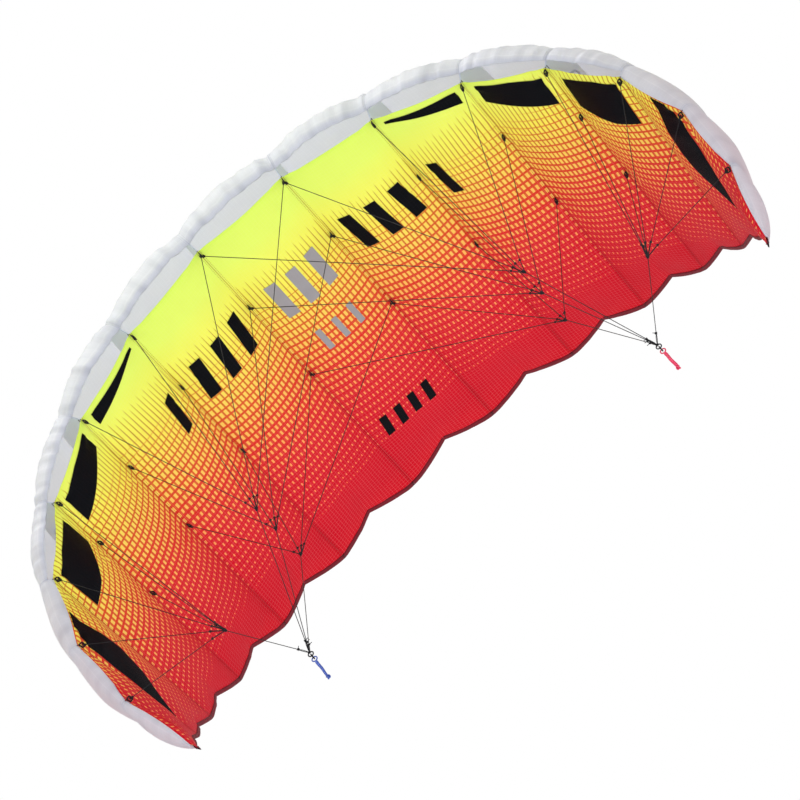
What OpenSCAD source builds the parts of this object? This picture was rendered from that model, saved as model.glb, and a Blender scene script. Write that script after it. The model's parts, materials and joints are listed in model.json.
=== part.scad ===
// Two-line ram-air foil kite: cloth cells between ribs, with a cascaded bridle to two tow points.
// +X runs along the span, the leading edge faces -Y, the canopy is on top and the tow points hang below.
// The origin is the centre of the whole kite's box.

/* [Canopy] */
// Span of the canopy laid flat, tip to tip
flat_span = 1700; // [1400:10:2100]
// Chord of the centre cell
centre_chord = 560; // [460:5:700]
// Chord left at the very tip
tip_chord = 14; // [8:1:24]
// How fast the chord shrinks towards the tips
chord_power = 2.5; // [2:0.1:3.2]
// Share of the width that the outermost cell has lost
cell_taper = 0.44; // [0.3:0.01:0.5]
// Thickness of the wing as a share of its chord
thickness_share = 0.16; // [0.12:0.01:0.2]
// Share of the section's height against its chord that is left at the tips
tip_slim = 0.5; // [0.4:0.1:1]
// Setback of the tip behind the centre's leading edge
tip_sweep = 128; // [90:1:170]

/* [Arc] */
// Even part of the tip's tilt from level, in degrees
arc_linear = 82; // [60:1:90]
// Part of the tip's tilt that gathers towards the tips, in degrees
arc_cubic = 36; // [20:1:45]
// Toe-in of the tip's chord, in degrees
tip_toe = 17; // [5:1:22]

/* [Air intakes] */
// Height of the centre cell's mouth
mouth_height = 24; // [16:1:32]
// Reach of the upper lip ahead of the lower lip
nose_reach = 8; // [4:1:14]

/* [Cloth] */
// Thickness of the cloth
cloth = 1; // [0.8:0.1:1.6]
// Thickness of a rib
rib_cloth = 1; // [0.8:0.1:1.6]
// Height of the seam that a rib's edge makes on the skin
seam_ridge = 1.5; // [1:0.1:3]
// Height of a cell's billow as a share of its width
billow = 0.09; // [0.05:0.01:0.12]
// Share of the billow that is left at the lips of the mouths
lip_billow = 0.5; // [0.3:0.05:0.7]
// Depth of the scallop between two ribs at the trailing edge
scallop = 16; // [6:1:24]
// Lift of the scallop's middle
scallop_lift = 10; // [4:1:14]
// Width of the tape that binds the trailing edge
binding = 6; // [4:0.5:10]
// Radius of a rib's air ports as a share of its height there
port_share = 0.3; // [0.2:0.01:0.36]
// Gap that lets a wing tip fold at its rib
fold_gap = 1.5; // [1:0.1:3]

/* [Bridle] */
// Distance of a tow point from the centre plane
tow_side = 280; // [220:5:340]
// Distance of the tow points behind the leading edge
tow_back = 95; // [60:5:130]
// Depth of the tow points below the centre cell
tow_depth = 595; // [500:5:700]
// Place of the middle row of tabs, as a share of the chord
middle_row = 0.226; // [0.18:0.002:0.28]
// Place of the rear row of tabs, as a share of the chord
rear_row = 0.508; // [0.44:0.002:0.58]
// Place of a cascade knot on the way from its tow point to the mean of its tabs
cascade_share = 0.4; // [0.3:0.01:0.5]
// Diameter of the leg lines
leg_d = 1; // [0.8:0.1:1.4]
// Diameter of the leader lines
leader_d = 1.3; // [1:0.1:1.8]
// Diameter of the doubled lines between two knots
loop_d = 1.5; // [1.2:0.1:1.6]
// Diameter of a leg's own knot
leg_knot_d = 3.4; // [2.8:0.1:4]
// Diameter of a cascade knot
cascade_knot_d = 5; // [4:0.1:6]
// Length of the doubled line between a cascade knot and a leg's knot
loop_length = 18; // [16:1:26]

/* [Tabs] */
// Length of a tab along the chord
tab_length = 10; // [9:0.5:14]
// Drop of a tab below the seam
tab_drop = 7; // [6:0.5:10]
// Thickness of a tab's webbing
tab_web = 1; // [0.8:0.1:1.4]
// Length of the slot in a tab
slot_length = 6; // [5:0.5:7]
// Height of the slot in a tab
slot_height = 3; // [2.6:0.1:3.4]
// Radius of the hitch that ties a leg to its tab
hitch_r = 4; // [3.6:0.1:5]

/* [Pigtails] */
// Radius of the rings that link a pigtail to its tow point
ring_r = 3.5; // [3.2:0.1:4.5]
// Diameter of the cord that the rings are tied from
ring_cord_d = 1.6; // [1.2:0.1:1.8]
// Diameter of the sleeve
sleeve_d = 4.5; // [4:0.1:6]
// Length of the sleeve
sleeve_length = 34; // [24:1:60]
// Diameter of the stopper knot
stopper_d = 6.5; // [5.5:0.1:8]

/* [Hidden] */
$fn = 24;

ribs = 7;          // ribs on each side of the centre cell
last_open = 4;     // outermost cell with an open mouth
taper_power = 1.3;
sweep_power = 6;
toe_power = 5;
across = 6;        // steps across a cell
along_top = 12;    // steps along an upper panel
along_nose = 3;    // steps round a closed nose
along_bottom = 9;  // steps along a lower panel
port_places = [0.16, 0.36, 0.58];
smallest_port = 5;
ring_play = 0.1;   // slack between two linked rings
slot_shift = 1.5;  // the right side's hitch in a shared tab sits this far behind its middle, the left side's ahead
rib_end = 0.985;   // a rib ends at this share of its chord, inside the closing seam
stopper_sink = 0.2; // share of the stopper knot's diameter that sits up inside the sleeve
leg_spacing = 1.6; // distance from a cascade knot's centre to where each leg leaves it
hitch_extra = 0.2; // a hitch's cord is this much thicker than its leg

function total(list, i = 0) = i == len(list) ? 0 : list[i] + total(list, i + 1);
function unit(v) = v/norm(v);
function mix(a, b, p) = a + (b - a)*p;
function flip_x(p) = [-p[0], p[1], p[2]];

// Cell widths shrink from the centre cell, number 0, to the tip cell, number 7.
function width_ratio(k) = 1 - cell_taper*pow(k/ribs, taper_power);
ratio_total = width_ratio(0) + 2*total([for (k = [1:ribs]) width_ratio(k)]);
function cell_width(k) = flat_span*width_ratio(k)/ratio_total;

// A station is a rib's distance from the centre plane along the flat span; station 8 is the tip.
function station(i) = i == 1 ? cell_width(0)/2 : station(i - 1) + cell_width(i - 1);
function span_share(i) = 2*station(i)/flat_span;
function cell_angle(k) = k == 0 ? 0 : let (s = (span_share(k) + span_share(k + 1))/2)
    arc_linear*s + arc_cubic*pow(s, 3);
function rib_x(i) = i == 1 ? cell_width(0)/2 : rib_x(i - 1) + cell_width(i - 1)*cos(cell_angle(i - 1));
function rib_z(i) = i == 1 ? 0 : rib_z(i - 1) - cell_width(i - 1)*sin(cell_angle(i - 1));
function rib_angle(i) = i > ribs ? cell_angle(ribs) : (cell_angle(i - 1) + cell_angle(i))/2;
function rib_chord(i) = tip_chord + (centre_chord - tip_chord)*(1 - pow(span_share(i), chord_power));

// A frame is [place, chord direction, upward direction, spanwise direction, chord, tilt, toe].
function frame_of(x, y, z, tilt, toe, chord) = [
    [x, y, z],
    [-sin(toe)*sin(tilt), cos(toe), -sin(toe)*cos(tilt)],
    [cos(toe)*sin(tilt), sin(toe), cos(toe)*cos(tilt)],
    [cos(tilt), 0, -sin(tilt)],
    chord, tilt, toe];
FRAMES = [for (i = [0:ribs + 1]) let (j = max(i, 1))
    frame_of(i == 0 ? -rib_x(1) : rib_x(j), tip_sweep*pow(span_share(j), sweep_power), rib_z(j),
        i == 0 ? -rib_angle(1) : rib_angle(j), tip_toe*pow(span_share(j), toe_power), rib_chord(j))];
function place(f, uv, a = 0) = f[0] + f[1]*uv[0] + f[2]*uv[1] + f[3]*a;

// The wing's section: u runs back along the chord from the lower lip, v runs up.
// The top follows the usual thickness curve above a nose that starts at the upper lip.
// Its height falls faster than its chord, down to the tip share of it.
function scale_of(chord) = let (r = chord/centre_chord) r*(tip_slim + (1 - tip_slim)*pow(r, 4));
function thickness_curve(x) =
    10*(0.2969*sqrt(x) - 0.126*x - 0.3516*pow(x, 2) + 0.2843*pow(x, 3) - 0.1036*pow(x, 4));
function top_uv(chord, x) = let (k = scale_of(chord), rise = k*(thickness_share*centre_chord - 0.49*mouth_height))
    [x*(chord + nose_reach*k) - nose_reach*k, mouth_height*k*pow(1 - x, 2) + rise*thickness_curve(x)];
function nose_uv(chord, turn) = let (k = scale_of(chord))
    [-nose_reach*k*sin(turn), mouth_height*k*(1 - cos(turn))];
function bottom_uv(chord, x) = [x*chord, 0];

function top_normal(chord, x) = let (d = top_uv(chord, min(1, x + 0.002)) - top_uv(chord, max(0, x - 0.002)))
    x == 0 ? [-1, 0] : [-d[1], d[0]]/norm(d);
function nose_normal(turn) = let (d = [nose_reach*cos(turn), mouth_height*sin(turn)]) [-d[1], -d[0]]/norm(d);

// A station list holds [uv, normal, billow share, closing share] for a chord.
function swell(x) = (lip_billow + (1 - lip_billow)*min(1, x/0.2))*(1 - pow(x, 4));
function top_stations(chord, closed) = concat(
    closed ? [for (j = [0:along_nose - 1]) let (turn = 90*j/along_nose)
        [nose_uv(chord, turn), nose_normal(turn), lip_billow, 0]] : [],
    [for (j = [0:along_top]) let (x = pow(j/along_top, 2))
        [top_uv(chord, x), top_normal(chord, x), swell(x), pow(x, 10)]]);
function bottom_stations(chord) = [for (j = [0:along_bottom]) let (x = j/along_bottom)
    [bottom_uv(chord, x), [0, -1], swell(x), pow(x, 10)]];

// A skin point lies between two ribs' frames at share p, pushed out by the billow and, near the
// trailing edge, forward and up by the scallop. lift is its height above the inner face.
function skin_point(fa, fb, sa, sb, wide, p, lift, ga, gb) = let (
        notch = pow(1 - abs(2*p - 1), 1.3)*sa[3]*wide/cell_width(0),
        push = wide*billow*sin(180*p)*sa[2] + lift,
        na = fa[1]*sa[1][0] + fa[2]*sa[1][1],
        nb = fb[1]*sb[1][0] + fb[2]*sb[1][1])
    mix(place(fa, sa[0], ga), place(fb, sb[0], gb), p)
    + mix(na, nb, p)*push
    - mix(fa[1], fb[1], p)*scallop*notch
    + mix(fa[2], fb[2], p)*scallop_lift*notch;

function start_gap(k) = rib_cloth/2 + (k == ribs ? fold_gap : 0);
function end_gap(k) = k == ribs ? 0 : -rib_cloth/2;
function skin_grid(k, top, lift) = let (
        fa = FRAMES[k], fb = FRAMES[k + 1], closed = k > last_open,
        sa = top ? top_stations(fa[4], closed) : bottom_stations(fa[4]),
        sb = top ? top_stations(fb[4], closed) : bottom_stations(fb[4]))
    [for (j = [0:len(sa) - 1]) for (i = [0:across])
        skin_point(fa, fb, sa[j], sb[j], cell_width(k), i/across, lift, start_gap(k), end_gap(k))];

// A sheet between two grids of n by m points, every face a pair of triangles.
function quad(a, b, c, d, flip) = flip ? [[a, c, b], [a, d, c]] : [[a, b, c], [a, c, d]];
function flat(lists) = [for (list = lists) for (item = list) item];
function sheet_faces(n, m, flip) = let (inner = n*m) flat(concat(
    [for (j = [0:n - 2]) for (i = [0:m - 2]) let (a = j*m + i)
        quad(a, a + 1, a + m + 1, a + m, flip)],
    [for (j = [0:n - 2]) for (i = [0:m - 2]) let (a = inner + j*m + i)
        quad(a, a + m, a + m + 1, a + 1, flip)],
    [for (i = [0:m - 2]) quad(i, inner + i, inner + i + 1, i + 1, flip)],
    [for (i = [0:m - 2]) let (a = (n - 1)*m + i) quad(a, a + 1, inner + a + 1, inner + a, flip)],
    [for (j = [0:n - 2]) let (a = j*m) quad(a, a + m, inner + a + m, inner + a, flip)],
    [for (j = [0:n - 2]) let (a = j*m + m - 1) quad(a, inner + a, inner + a + m, a + m, flip)]));

module skin(k, top) {
    outer = skin_grid(k, top, cloth);
    inner = skin_grid(k, top, 0);
    columns = across + 1;
    polyhedron(concat(outer, inner), sheet_faces(len(outer)/columns, columns, !top), convexity = 8);
}

// The whole kite is moved so that its box's centre is the origin.
ALL_TOPS = flat([for (k = [0:ribs]) skin_grid(k, true, cloth)]);
BINDING_ENDS = flat([for (k = [0:ribs]) tape_rings(k)]);
stopper_low = -tow_depth - hang_drop() - sleeve_length - stopper_d*(1 - stopper_sink) + ring_cord_d/2;
high_z = max([for (p = ALL_TOPS) p[2]]);
front_y = min([for (p = ALL_TOPS) p[1]]);
back_y = max([for (ring = BINDING_ENDS) for (p = ring) p[1]]);
CENTRING = -[0, (front_y + back_y)/2, (high_z + stopper_low)/2];

module on_side(side) {
    translate(CENTRING) if (side > 0) children(); else mirror([1, 0, 0]) children();
}

// The rib's outline is the section with a margin that stands in the seams; its ports let air across.
function rib_outline(chord, closed) = let (m = cloth + seam_ridge) concat(
    [[chord*rib_end, -m], [0, -m]],
    closed ? [for (j = [1:along_nose - 1]) let (turn = 90*j/along_nose)
        nose_uv(chord, turn) + m*nose_normal(turn)] : [],
    [for (j = [0:along_top]) let (x = rib_end*pow(j/along_top, 2))
        top_uv(chord, x) + m*top_normal(chord, x)]);

module rib(i) {
    f = FRAMES[i];
    translate(f[0]) rotate([0, f[5], 0]) rotate([-f[6], 0, 0]) rotate([90, 0, 90])
        translate([0, 0, -rib_cloth/2]) linear_extrude(rib_cloth) difference() {
            polygon(rib_outline(f[4], i > last_open));
            for (x = port_places) {
                top = top_uv(f[4], x);
                radius = top[1]*port_share;
                if (radius > smallest_port) translate([top[0], top[1]/2]) circle(r = radius, $fn = 48);
            }
        }
}

// The binding is a flat tape behind both skins; a ring of it has four corners.
function tape_ring(fa, fb, wide, p, ga, gb) = let (
        ta = top_stations(fa[4], false)[along_top], tb = top_stations(fb[4], false)[along_top],
        la = bottom_stations(fa[4])[along_bottom], lb = bottom_stations(fb[4])[along_bottom],
        back = mix(fa[1], fb[1], p)*binding,
        high = skin_point(fa, fb, ta, tb, wide, p, cloth, ga, gb),
        low = skin_point(fa, fb, la, lb, wide, p, cloth, ga, gb))
    [high, high + back, low + back, low];
function tape_rings(k) = let (fa = FRAMES[k], fb = FRAMES[k + 1], wide = cell_width(k)) concat(
    k == 0 || k == ribs ? [] : [tape_ring(fa, fb, wide, 0, 0, 0)],
    [for (i = [0:across]) tape_ring(fa, fb, wide, i/across, start_gap(k), end_gap(k))]);

module tape(rings) {
    n = len(rings);
    polyhedron(flat(rings), concat(
        [[0, 1, 2], [0, 2, 3]],
        [for (r = [0:n - 2]) for (c = [0:3]) let (a = r*4 + c, b = r*4 + (c + 1)%4)
            each [[a, a + 4, b + 4], [a, b + 4, b]]],
        let (a = (n - 1)*4) [[a, a + 2, a + 1], [a, a + 3, a + 2]]), convexity = 8);
}

function mirrored(rings) = [for (r = [len(rings) - 1:-1:0]) [for (p = rings[r]) flip_x(p)]];
RIGHT_TAPE = flat([for (k = [1:ribs - 1]) tape_rings(k)]);

module trailing_binding() {
    color("maroon") translate(CENTRING) tape(concat(mirrored(RIGHT_TAPE), tape_rings(0), RIGHT_TAPE));
}

// Tabs hang from the ribs' seams. Each row of each rib is one tab with a slot.
function row_share(row) = [0, middle_row, rear_row][row];
function tab_u(i, row) = max(row_share(row)*FRAMES[i][4], tab_length/2);
function slot_centre(i, row, shift) = place(FRAMES[i],
    [tab_u(i, row) + shift, -cloth - seam_ridge - tab_drop/2]);

module tab(i, row) {
    f = FRAMES[i];
    translate(f[0]) rotate([0, f[5], 0]) rotate([-f[6], 0, 0]) rotate([90, 0, 90])
        translate([tab_u(i, row), -cloth - seam_ridge - tab_drop/2, -tab_web/2])
            linear_extrude(tab_web) difference() {
                square([tab_length, tab_drop], center = true);
                square([slot_length, slot_height], center = true);
            }
}

TABS = concat([for (i = [1:ribs]) [i, 0]], [for (row = [1, 2]) for (i = [1:4]) [i, row]]);

module bridle_tabs() {
    color("black") for (side = [1, -1]) on_side(side) for (t = TABS) tab(t[0], t[1]);
}

// Each cascade ties its legs, given as [side, rib, row, turn], to one leader; the turn is a leg's place
// round the knot. The front, middle and rear cascades each hold the far rib 1 and the near ribs 1 to 3.
// The fourth holds the outer ribs.
CASCADES = concat(
    [for (row = [0:2]) [[-1, 1, row, 180], [1, 1, row, 90], [1, 2, row, 270], [1, 3, row, 0]]],
    [[[1, 4, 0, 215], [1, 4, 1, 155], [1, 4, 2, 95], [1, 5, 0, 275], [1, 6, 0, 335], [1, 7, 0, 35]]]);
TOW = [tow_side, tow_back, -tow_depth];
function own_side(leg, p) = leg[0] > 0 ? p : flip_x(p);
function hole_shift(leg, side) = leg[1] > 1 ? 0 : slot_shift*side;
function leg_top(leg, side) = own_side(leg, slot_centre(leg[1], leg[2], hole_shift(leg, side)));
function cascade_place(c) = let (tops = [for (leg = CASCADES[c]) leg_top(leg, 0)])
    mix(TOW, total_points(tops)/len(tops), cascade_share);
function total_points(list, i = 0) = i == len(list) ? [0, 0, 0] : list[i] + total_points(list, i + 1);
function leg_knot(leg, c, side) = let (k = cascade_place(c)) k + unit(leg_top(leg, side) - k)*loop_length;

// Legs leave a cascade knot side by side, each from its own place round the leader's line.
function leg_start(leg, c) = let (
        k = cascade_place(c), a = unit(k - TOW), n = unit(cross(a, [1, 0, 0])), e = cross(n, a))
    k + (e*cos(leg[3]) + n*sin(leg[3]))*leg_spacing;

module along(a, b) {
    v = b - a;
    translate(a) rotate([0, acos(v[2]/norm(v)), atan2(v[1], v[0])]) children();
}
module line(a, b, d, start, end) {
    along(a, b) translate([0, 0, start]) cylinder(d = d, h = norm(b - a) - start - end);
}
module knotted_loop(a, b) {
    along(a, b) {
        cylinder(d = loop_d, h = norm(b - a));
        translate([0, 0, norm(b - a)]) sphere(d = leg_knot_d);
    }
}

// The hitch is a ring through the tab's slot, in the plane of the leg and the tab's own thickness.
module hitch(top, toward, across_tab) {
    d = unit(toward - top);
    n = unit(cross(d, across_tab));
    w = cross(n, d);
    multmatrix([[w[0], d[0], n[0], top[0]], [w[1], d[1], n[1], top[1]], [w[2], d[2], n[2], top[2]]])
        translate([0, hitch_r, 0]) rotate_extrude() translate([hitch_r, 0]) circle(d = leg_d + hitch_extra);
}

module bridle_leg(leg, c, side) {
    top = leg_top(leg, side);
    knot = leg_knot(leg, c, side);
    span_way = own_side(leg, FRAMES[leg[1]][3]);
    hitch(top, knot, span_way);
    line(top, knot, leg_d, 2*hitch_r, leg_knot_d/2);
}

module bridle_legs(side) {
    color("black") on_side(side) for (c = [0:3]) for (leg = CASCADES[c]) bridle_leg(leg, c, side);
}

// A cascade knot's ball is turned so that its poles and its seam stay clear of the legs, which leave upward.
module cascade_knots(side) {
    color("black") on_side(side) for (c = [0:3]) {
        k = cascade_place(c);
        translate(k) rotate([90, 90, 0]) sphere(d = cascade_knot_d);
        for (leg = CASCADES[c]) knotted_loop(leg_start(leg, c), leg_knot(leg, c, side));
    }
}

// Four leaders run from the cascades to adjuster knots above the tow point's ring.
RING_TOP = TOW + [0, 0, 2*ring_r];
function adjuster(c) = RING_TOP + unit(cascade_place(c) - RING_TOP)*loop_length;

module leader_lines(side) {
    color("dimgray") on_side(side) for (c = [0:3])
        line(cascade_place(c), adjuster(c), leader_d, cascade_knot_d/2, leg_knot_d/2);
}

module cord_ring(centre, turn) {
    translate(centre) rotate([90, 0, turn]) rotate_extrude() translate([ring_r, 0]) circle(d = ring_cord_d);
}

module tow_loops(side) {
    color("black") on_side(side) {
        cord_ring(TOW + [0, 0, ring_r], 0);
        for (c = [0:3]) knotted_loop(RING_TOP, adjuster(c));
    }
}

// Two more rings hang from the tow ring, each hooked inside the one above with a little play.
function hook() = 2*ring_r - ring_cord_d - ring_play;
function hang_drop() = 2*hook();
module hitch_ring(side) {
    color("black") on_side(side) cord_ring(TOW + [0, 0, ring_r - hook()], 90);
}

module pigtail(side) {
    color(side > 0 ? "crimson" : "royalblue") on_side(side) {
        cord_ring(TOW + [0, 0, ring_r - 2*hook()], 0);
        translate(TOW - [0, 0, hang_drop() + sleeve_length - ring_cord_d/2]) {
            cylinder(d = sleeve_d, h = sleeve_length);
            translate([0, 0, stopper_d*(stopper_sink - 0.5)]) sphere(d = stopper_d);
        }
    }
}

TOP_COLOURS = ["white", "ghostwhite"];
BOTTOM_COLOURS = ["orangered", "tomato"];
module upper_panel(k, side) { color(TOP_COLOURS[k%2]) on_side(side) skin(k, true); }
module lower_panel(k, side) { color(BOTTOM_COLOURS[k%2]) on_side(side) skin(k, false); }
module tip_binding(side) { color("maroon") on_side(side) tape(tape_rings(ribs)); }

upper_panel(0, 1);  // upper_panel_centre
lower_panel(0, 1);  // lower_panel_centre
trailing_binding();
bridle_tabs();
for (side = [1, -1]) {
    name = side > 0 ? "right" : "left";
    for (k = [1:ribs - 1]) upper_panel(k, side);
    for (k = [1:ribs - 1]) lower_panel(k, side);
    for (i = [1:ribs]) color("whitesmoke") on_side(side) rib(i);
    upper_panel(ribs, side);
    lower_panel(ribs, side);
    tip_binding(side);
    bridle_legs(side);
    cascade_knots(side);
    leader_lines(side);
    tow_loops(side);
    hitch_ring(side);
    pigtail(side);
}
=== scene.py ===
"""A two-line foil kite in flight: cloth panels, ribs, tabs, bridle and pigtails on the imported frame."""

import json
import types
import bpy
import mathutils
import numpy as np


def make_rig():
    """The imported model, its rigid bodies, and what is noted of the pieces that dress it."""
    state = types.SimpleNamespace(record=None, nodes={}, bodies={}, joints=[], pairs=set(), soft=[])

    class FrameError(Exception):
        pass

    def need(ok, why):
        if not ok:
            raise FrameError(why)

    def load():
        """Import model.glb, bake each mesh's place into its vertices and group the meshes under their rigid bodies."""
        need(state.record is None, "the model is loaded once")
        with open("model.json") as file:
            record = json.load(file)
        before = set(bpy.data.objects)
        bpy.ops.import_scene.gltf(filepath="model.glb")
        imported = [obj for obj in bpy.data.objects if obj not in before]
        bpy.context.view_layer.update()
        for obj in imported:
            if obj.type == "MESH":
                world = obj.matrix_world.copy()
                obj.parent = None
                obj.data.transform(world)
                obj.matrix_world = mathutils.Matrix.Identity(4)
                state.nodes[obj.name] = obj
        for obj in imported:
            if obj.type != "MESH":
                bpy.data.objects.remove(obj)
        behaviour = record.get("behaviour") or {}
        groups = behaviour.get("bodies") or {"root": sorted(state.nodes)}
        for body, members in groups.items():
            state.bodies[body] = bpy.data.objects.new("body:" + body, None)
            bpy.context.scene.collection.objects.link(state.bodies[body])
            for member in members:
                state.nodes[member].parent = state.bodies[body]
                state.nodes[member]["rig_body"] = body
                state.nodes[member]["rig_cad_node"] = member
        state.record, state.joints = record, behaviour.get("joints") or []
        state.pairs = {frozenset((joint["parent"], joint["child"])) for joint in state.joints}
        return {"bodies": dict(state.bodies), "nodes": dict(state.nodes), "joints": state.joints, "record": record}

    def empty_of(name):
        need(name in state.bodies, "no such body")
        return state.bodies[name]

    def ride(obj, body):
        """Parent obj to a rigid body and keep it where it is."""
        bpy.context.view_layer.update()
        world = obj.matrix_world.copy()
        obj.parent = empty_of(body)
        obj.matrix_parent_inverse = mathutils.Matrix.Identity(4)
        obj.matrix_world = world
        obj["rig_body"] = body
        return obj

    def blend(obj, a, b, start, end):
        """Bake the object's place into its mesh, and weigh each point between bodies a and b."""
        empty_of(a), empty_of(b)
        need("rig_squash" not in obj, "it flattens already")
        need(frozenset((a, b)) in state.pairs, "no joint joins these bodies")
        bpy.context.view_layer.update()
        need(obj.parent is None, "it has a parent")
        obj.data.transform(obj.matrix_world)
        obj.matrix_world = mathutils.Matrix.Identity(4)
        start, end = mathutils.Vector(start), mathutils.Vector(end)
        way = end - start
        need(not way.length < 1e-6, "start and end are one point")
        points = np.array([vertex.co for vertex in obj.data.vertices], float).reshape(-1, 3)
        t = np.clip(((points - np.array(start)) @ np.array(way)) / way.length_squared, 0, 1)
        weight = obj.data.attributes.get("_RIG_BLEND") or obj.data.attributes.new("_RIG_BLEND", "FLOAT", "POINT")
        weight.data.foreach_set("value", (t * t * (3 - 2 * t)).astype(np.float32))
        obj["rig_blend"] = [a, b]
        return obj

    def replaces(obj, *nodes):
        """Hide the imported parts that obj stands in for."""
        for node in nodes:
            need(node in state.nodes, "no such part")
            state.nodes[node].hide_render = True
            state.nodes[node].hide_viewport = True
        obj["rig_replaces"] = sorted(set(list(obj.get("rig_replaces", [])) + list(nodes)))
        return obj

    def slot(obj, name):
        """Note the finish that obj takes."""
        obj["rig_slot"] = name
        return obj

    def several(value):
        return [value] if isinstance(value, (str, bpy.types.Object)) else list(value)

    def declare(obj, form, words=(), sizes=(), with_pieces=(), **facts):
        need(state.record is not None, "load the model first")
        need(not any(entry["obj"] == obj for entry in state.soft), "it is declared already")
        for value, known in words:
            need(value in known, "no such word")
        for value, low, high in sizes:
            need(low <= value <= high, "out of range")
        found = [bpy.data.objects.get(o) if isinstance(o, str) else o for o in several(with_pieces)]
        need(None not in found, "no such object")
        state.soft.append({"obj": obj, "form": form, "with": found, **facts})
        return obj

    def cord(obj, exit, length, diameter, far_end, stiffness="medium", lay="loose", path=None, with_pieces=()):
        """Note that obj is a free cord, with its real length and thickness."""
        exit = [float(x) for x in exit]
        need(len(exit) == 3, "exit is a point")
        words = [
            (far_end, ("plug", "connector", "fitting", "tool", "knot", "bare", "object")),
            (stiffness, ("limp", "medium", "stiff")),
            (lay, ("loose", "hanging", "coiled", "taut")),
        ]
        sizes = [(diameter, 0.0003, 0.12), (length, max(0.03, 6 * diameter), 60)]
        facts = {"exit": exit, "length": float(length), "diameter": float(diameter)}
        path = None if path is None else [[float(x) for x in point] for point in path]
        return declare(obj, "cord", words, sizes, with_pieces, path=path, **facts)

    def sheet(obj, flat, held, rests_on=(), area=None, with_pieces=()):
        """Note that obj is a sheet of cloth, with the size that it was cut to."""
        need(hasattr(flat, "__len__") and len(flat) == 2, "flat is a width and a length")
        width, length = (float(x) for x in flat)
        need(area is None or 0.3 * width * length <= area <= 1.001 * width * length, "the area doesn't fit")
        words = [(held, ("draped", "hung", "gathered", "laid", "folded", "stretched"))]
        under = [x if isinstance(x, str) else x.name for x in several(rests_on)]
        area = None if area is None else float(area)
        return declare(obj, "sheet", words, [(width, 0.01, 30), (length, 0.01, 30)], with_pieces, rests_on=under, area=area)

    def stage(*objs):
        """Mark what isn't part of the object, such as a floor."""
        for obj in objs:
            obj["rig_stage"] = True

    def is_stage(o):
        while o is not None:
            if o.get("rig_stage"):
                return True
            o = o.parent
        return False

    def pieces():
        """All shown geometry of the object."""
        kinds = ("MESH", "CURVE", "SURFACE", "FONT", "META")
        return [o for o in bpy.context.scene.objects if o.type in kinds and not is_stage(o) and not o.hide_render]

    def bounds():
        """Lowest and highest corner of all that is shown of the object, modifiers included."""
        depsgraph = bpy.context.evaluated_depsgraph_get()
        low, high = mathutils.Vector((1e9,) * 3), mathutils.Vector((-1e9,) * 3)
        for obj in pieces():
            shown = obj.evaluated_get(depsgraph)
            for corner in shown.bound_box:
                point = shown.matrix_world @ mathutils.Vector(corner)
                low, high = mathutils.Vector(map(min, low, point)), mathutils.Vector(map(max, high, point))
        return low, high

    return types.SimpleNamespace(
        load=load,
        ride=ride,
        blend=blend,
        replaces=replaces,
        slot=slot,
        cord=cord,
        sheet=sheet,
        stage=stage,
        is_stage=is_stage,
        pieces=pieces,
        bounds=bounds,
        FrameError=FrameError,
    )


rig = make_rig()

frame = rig.load()

import json
import math
import bpy
import numpy as np
from mathutils import Matrix, Vector
from mathutils.geometry import delaunay_2d_cdt

CAD_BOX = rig.bounds()
MM = 0.001

# ---------------------------------------------------------------- layout, in millimetres
SPAN, CHORD, TIP_CHORD, CHORD_POWER = 1700.0, 560.0, 14.0, 2.5
TAPER, TAPER_POWER, THICK, TIP_SLIM = 0.44, 1.3, 0.16, 0.5
SWEEP, SWEEP_POWER, TOE, TOE_POWER = 128.0, 6, 17.0, 5
ARC_LINEAR, ARC_CUBIC = 82.0, 36.0
MOUTH, NOSE = 24.0, 8.0
CLOTH, RIDGE = 1.0, 1.5
BILLOW, LIP_BILLOW, NOSE_BILLOW = 0.12, 0.36, 0.7
VALANCE = 0.34
SCALLOP, SCALLOP_LIFT = 16.0, 10.0
RIBS, LAST_OPEN = 7, 4
TOW = np.array([280.0, 95.0, -595.0])
ROWS = (0.0, 0.226, 0.508)
CASCADE_SHARE, LOOP, RING_R, RING_D = 0.4, 18.0, 3.5, 1.6
TAB_L, TAB_DROP, TAB_WEB = 10.0, 7.0, 1.0
SLEEVE_D, SLEEVE_L, STOPPER_D, STOPPER_SINK = 4.5, 34.0, 6.5, 0.2
LEG_D, LEG_SPACING = 1.0, 1.6
PORTS, PORT_SHARE = (0.16, 0.36, 0.58), 0.3

swing = next(j for j in frame["joints"] if j["name"] == "right_pigtail_swing")
SHIFT = np.array(swing["pos_m"], float) / MM - TOW


def ratio(k):
    """Width of cell k as a share of the centre cell's."""
    return 1 - TAPER * (k / RIBS) ** TAPER_POWER


RATIOS = ratio(0) + 2 * sum(ratio(k) for k in range(1, RIBS + 1))
WIDTH = [SPAN * ratio(k) / RATIOS for k in range(RIBS + 1)]
STATION = [0.0, WIDTH[0] / 2]
for k in range(1, RIBS + 1):
    STATION.append(STATION[-1] + WIDTH[k])
SHARE = [2 * s / SPAN for s in STATION]
ANGLE = [0.0]
for k in range(1, RIBS + 1):
    mid = (SHARE[k] + SHARE[k + 1]) / 2
    ANGLE.append(ARC_LINEAR * mid + ARC_CUBIC * mid ** 3)


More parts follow.
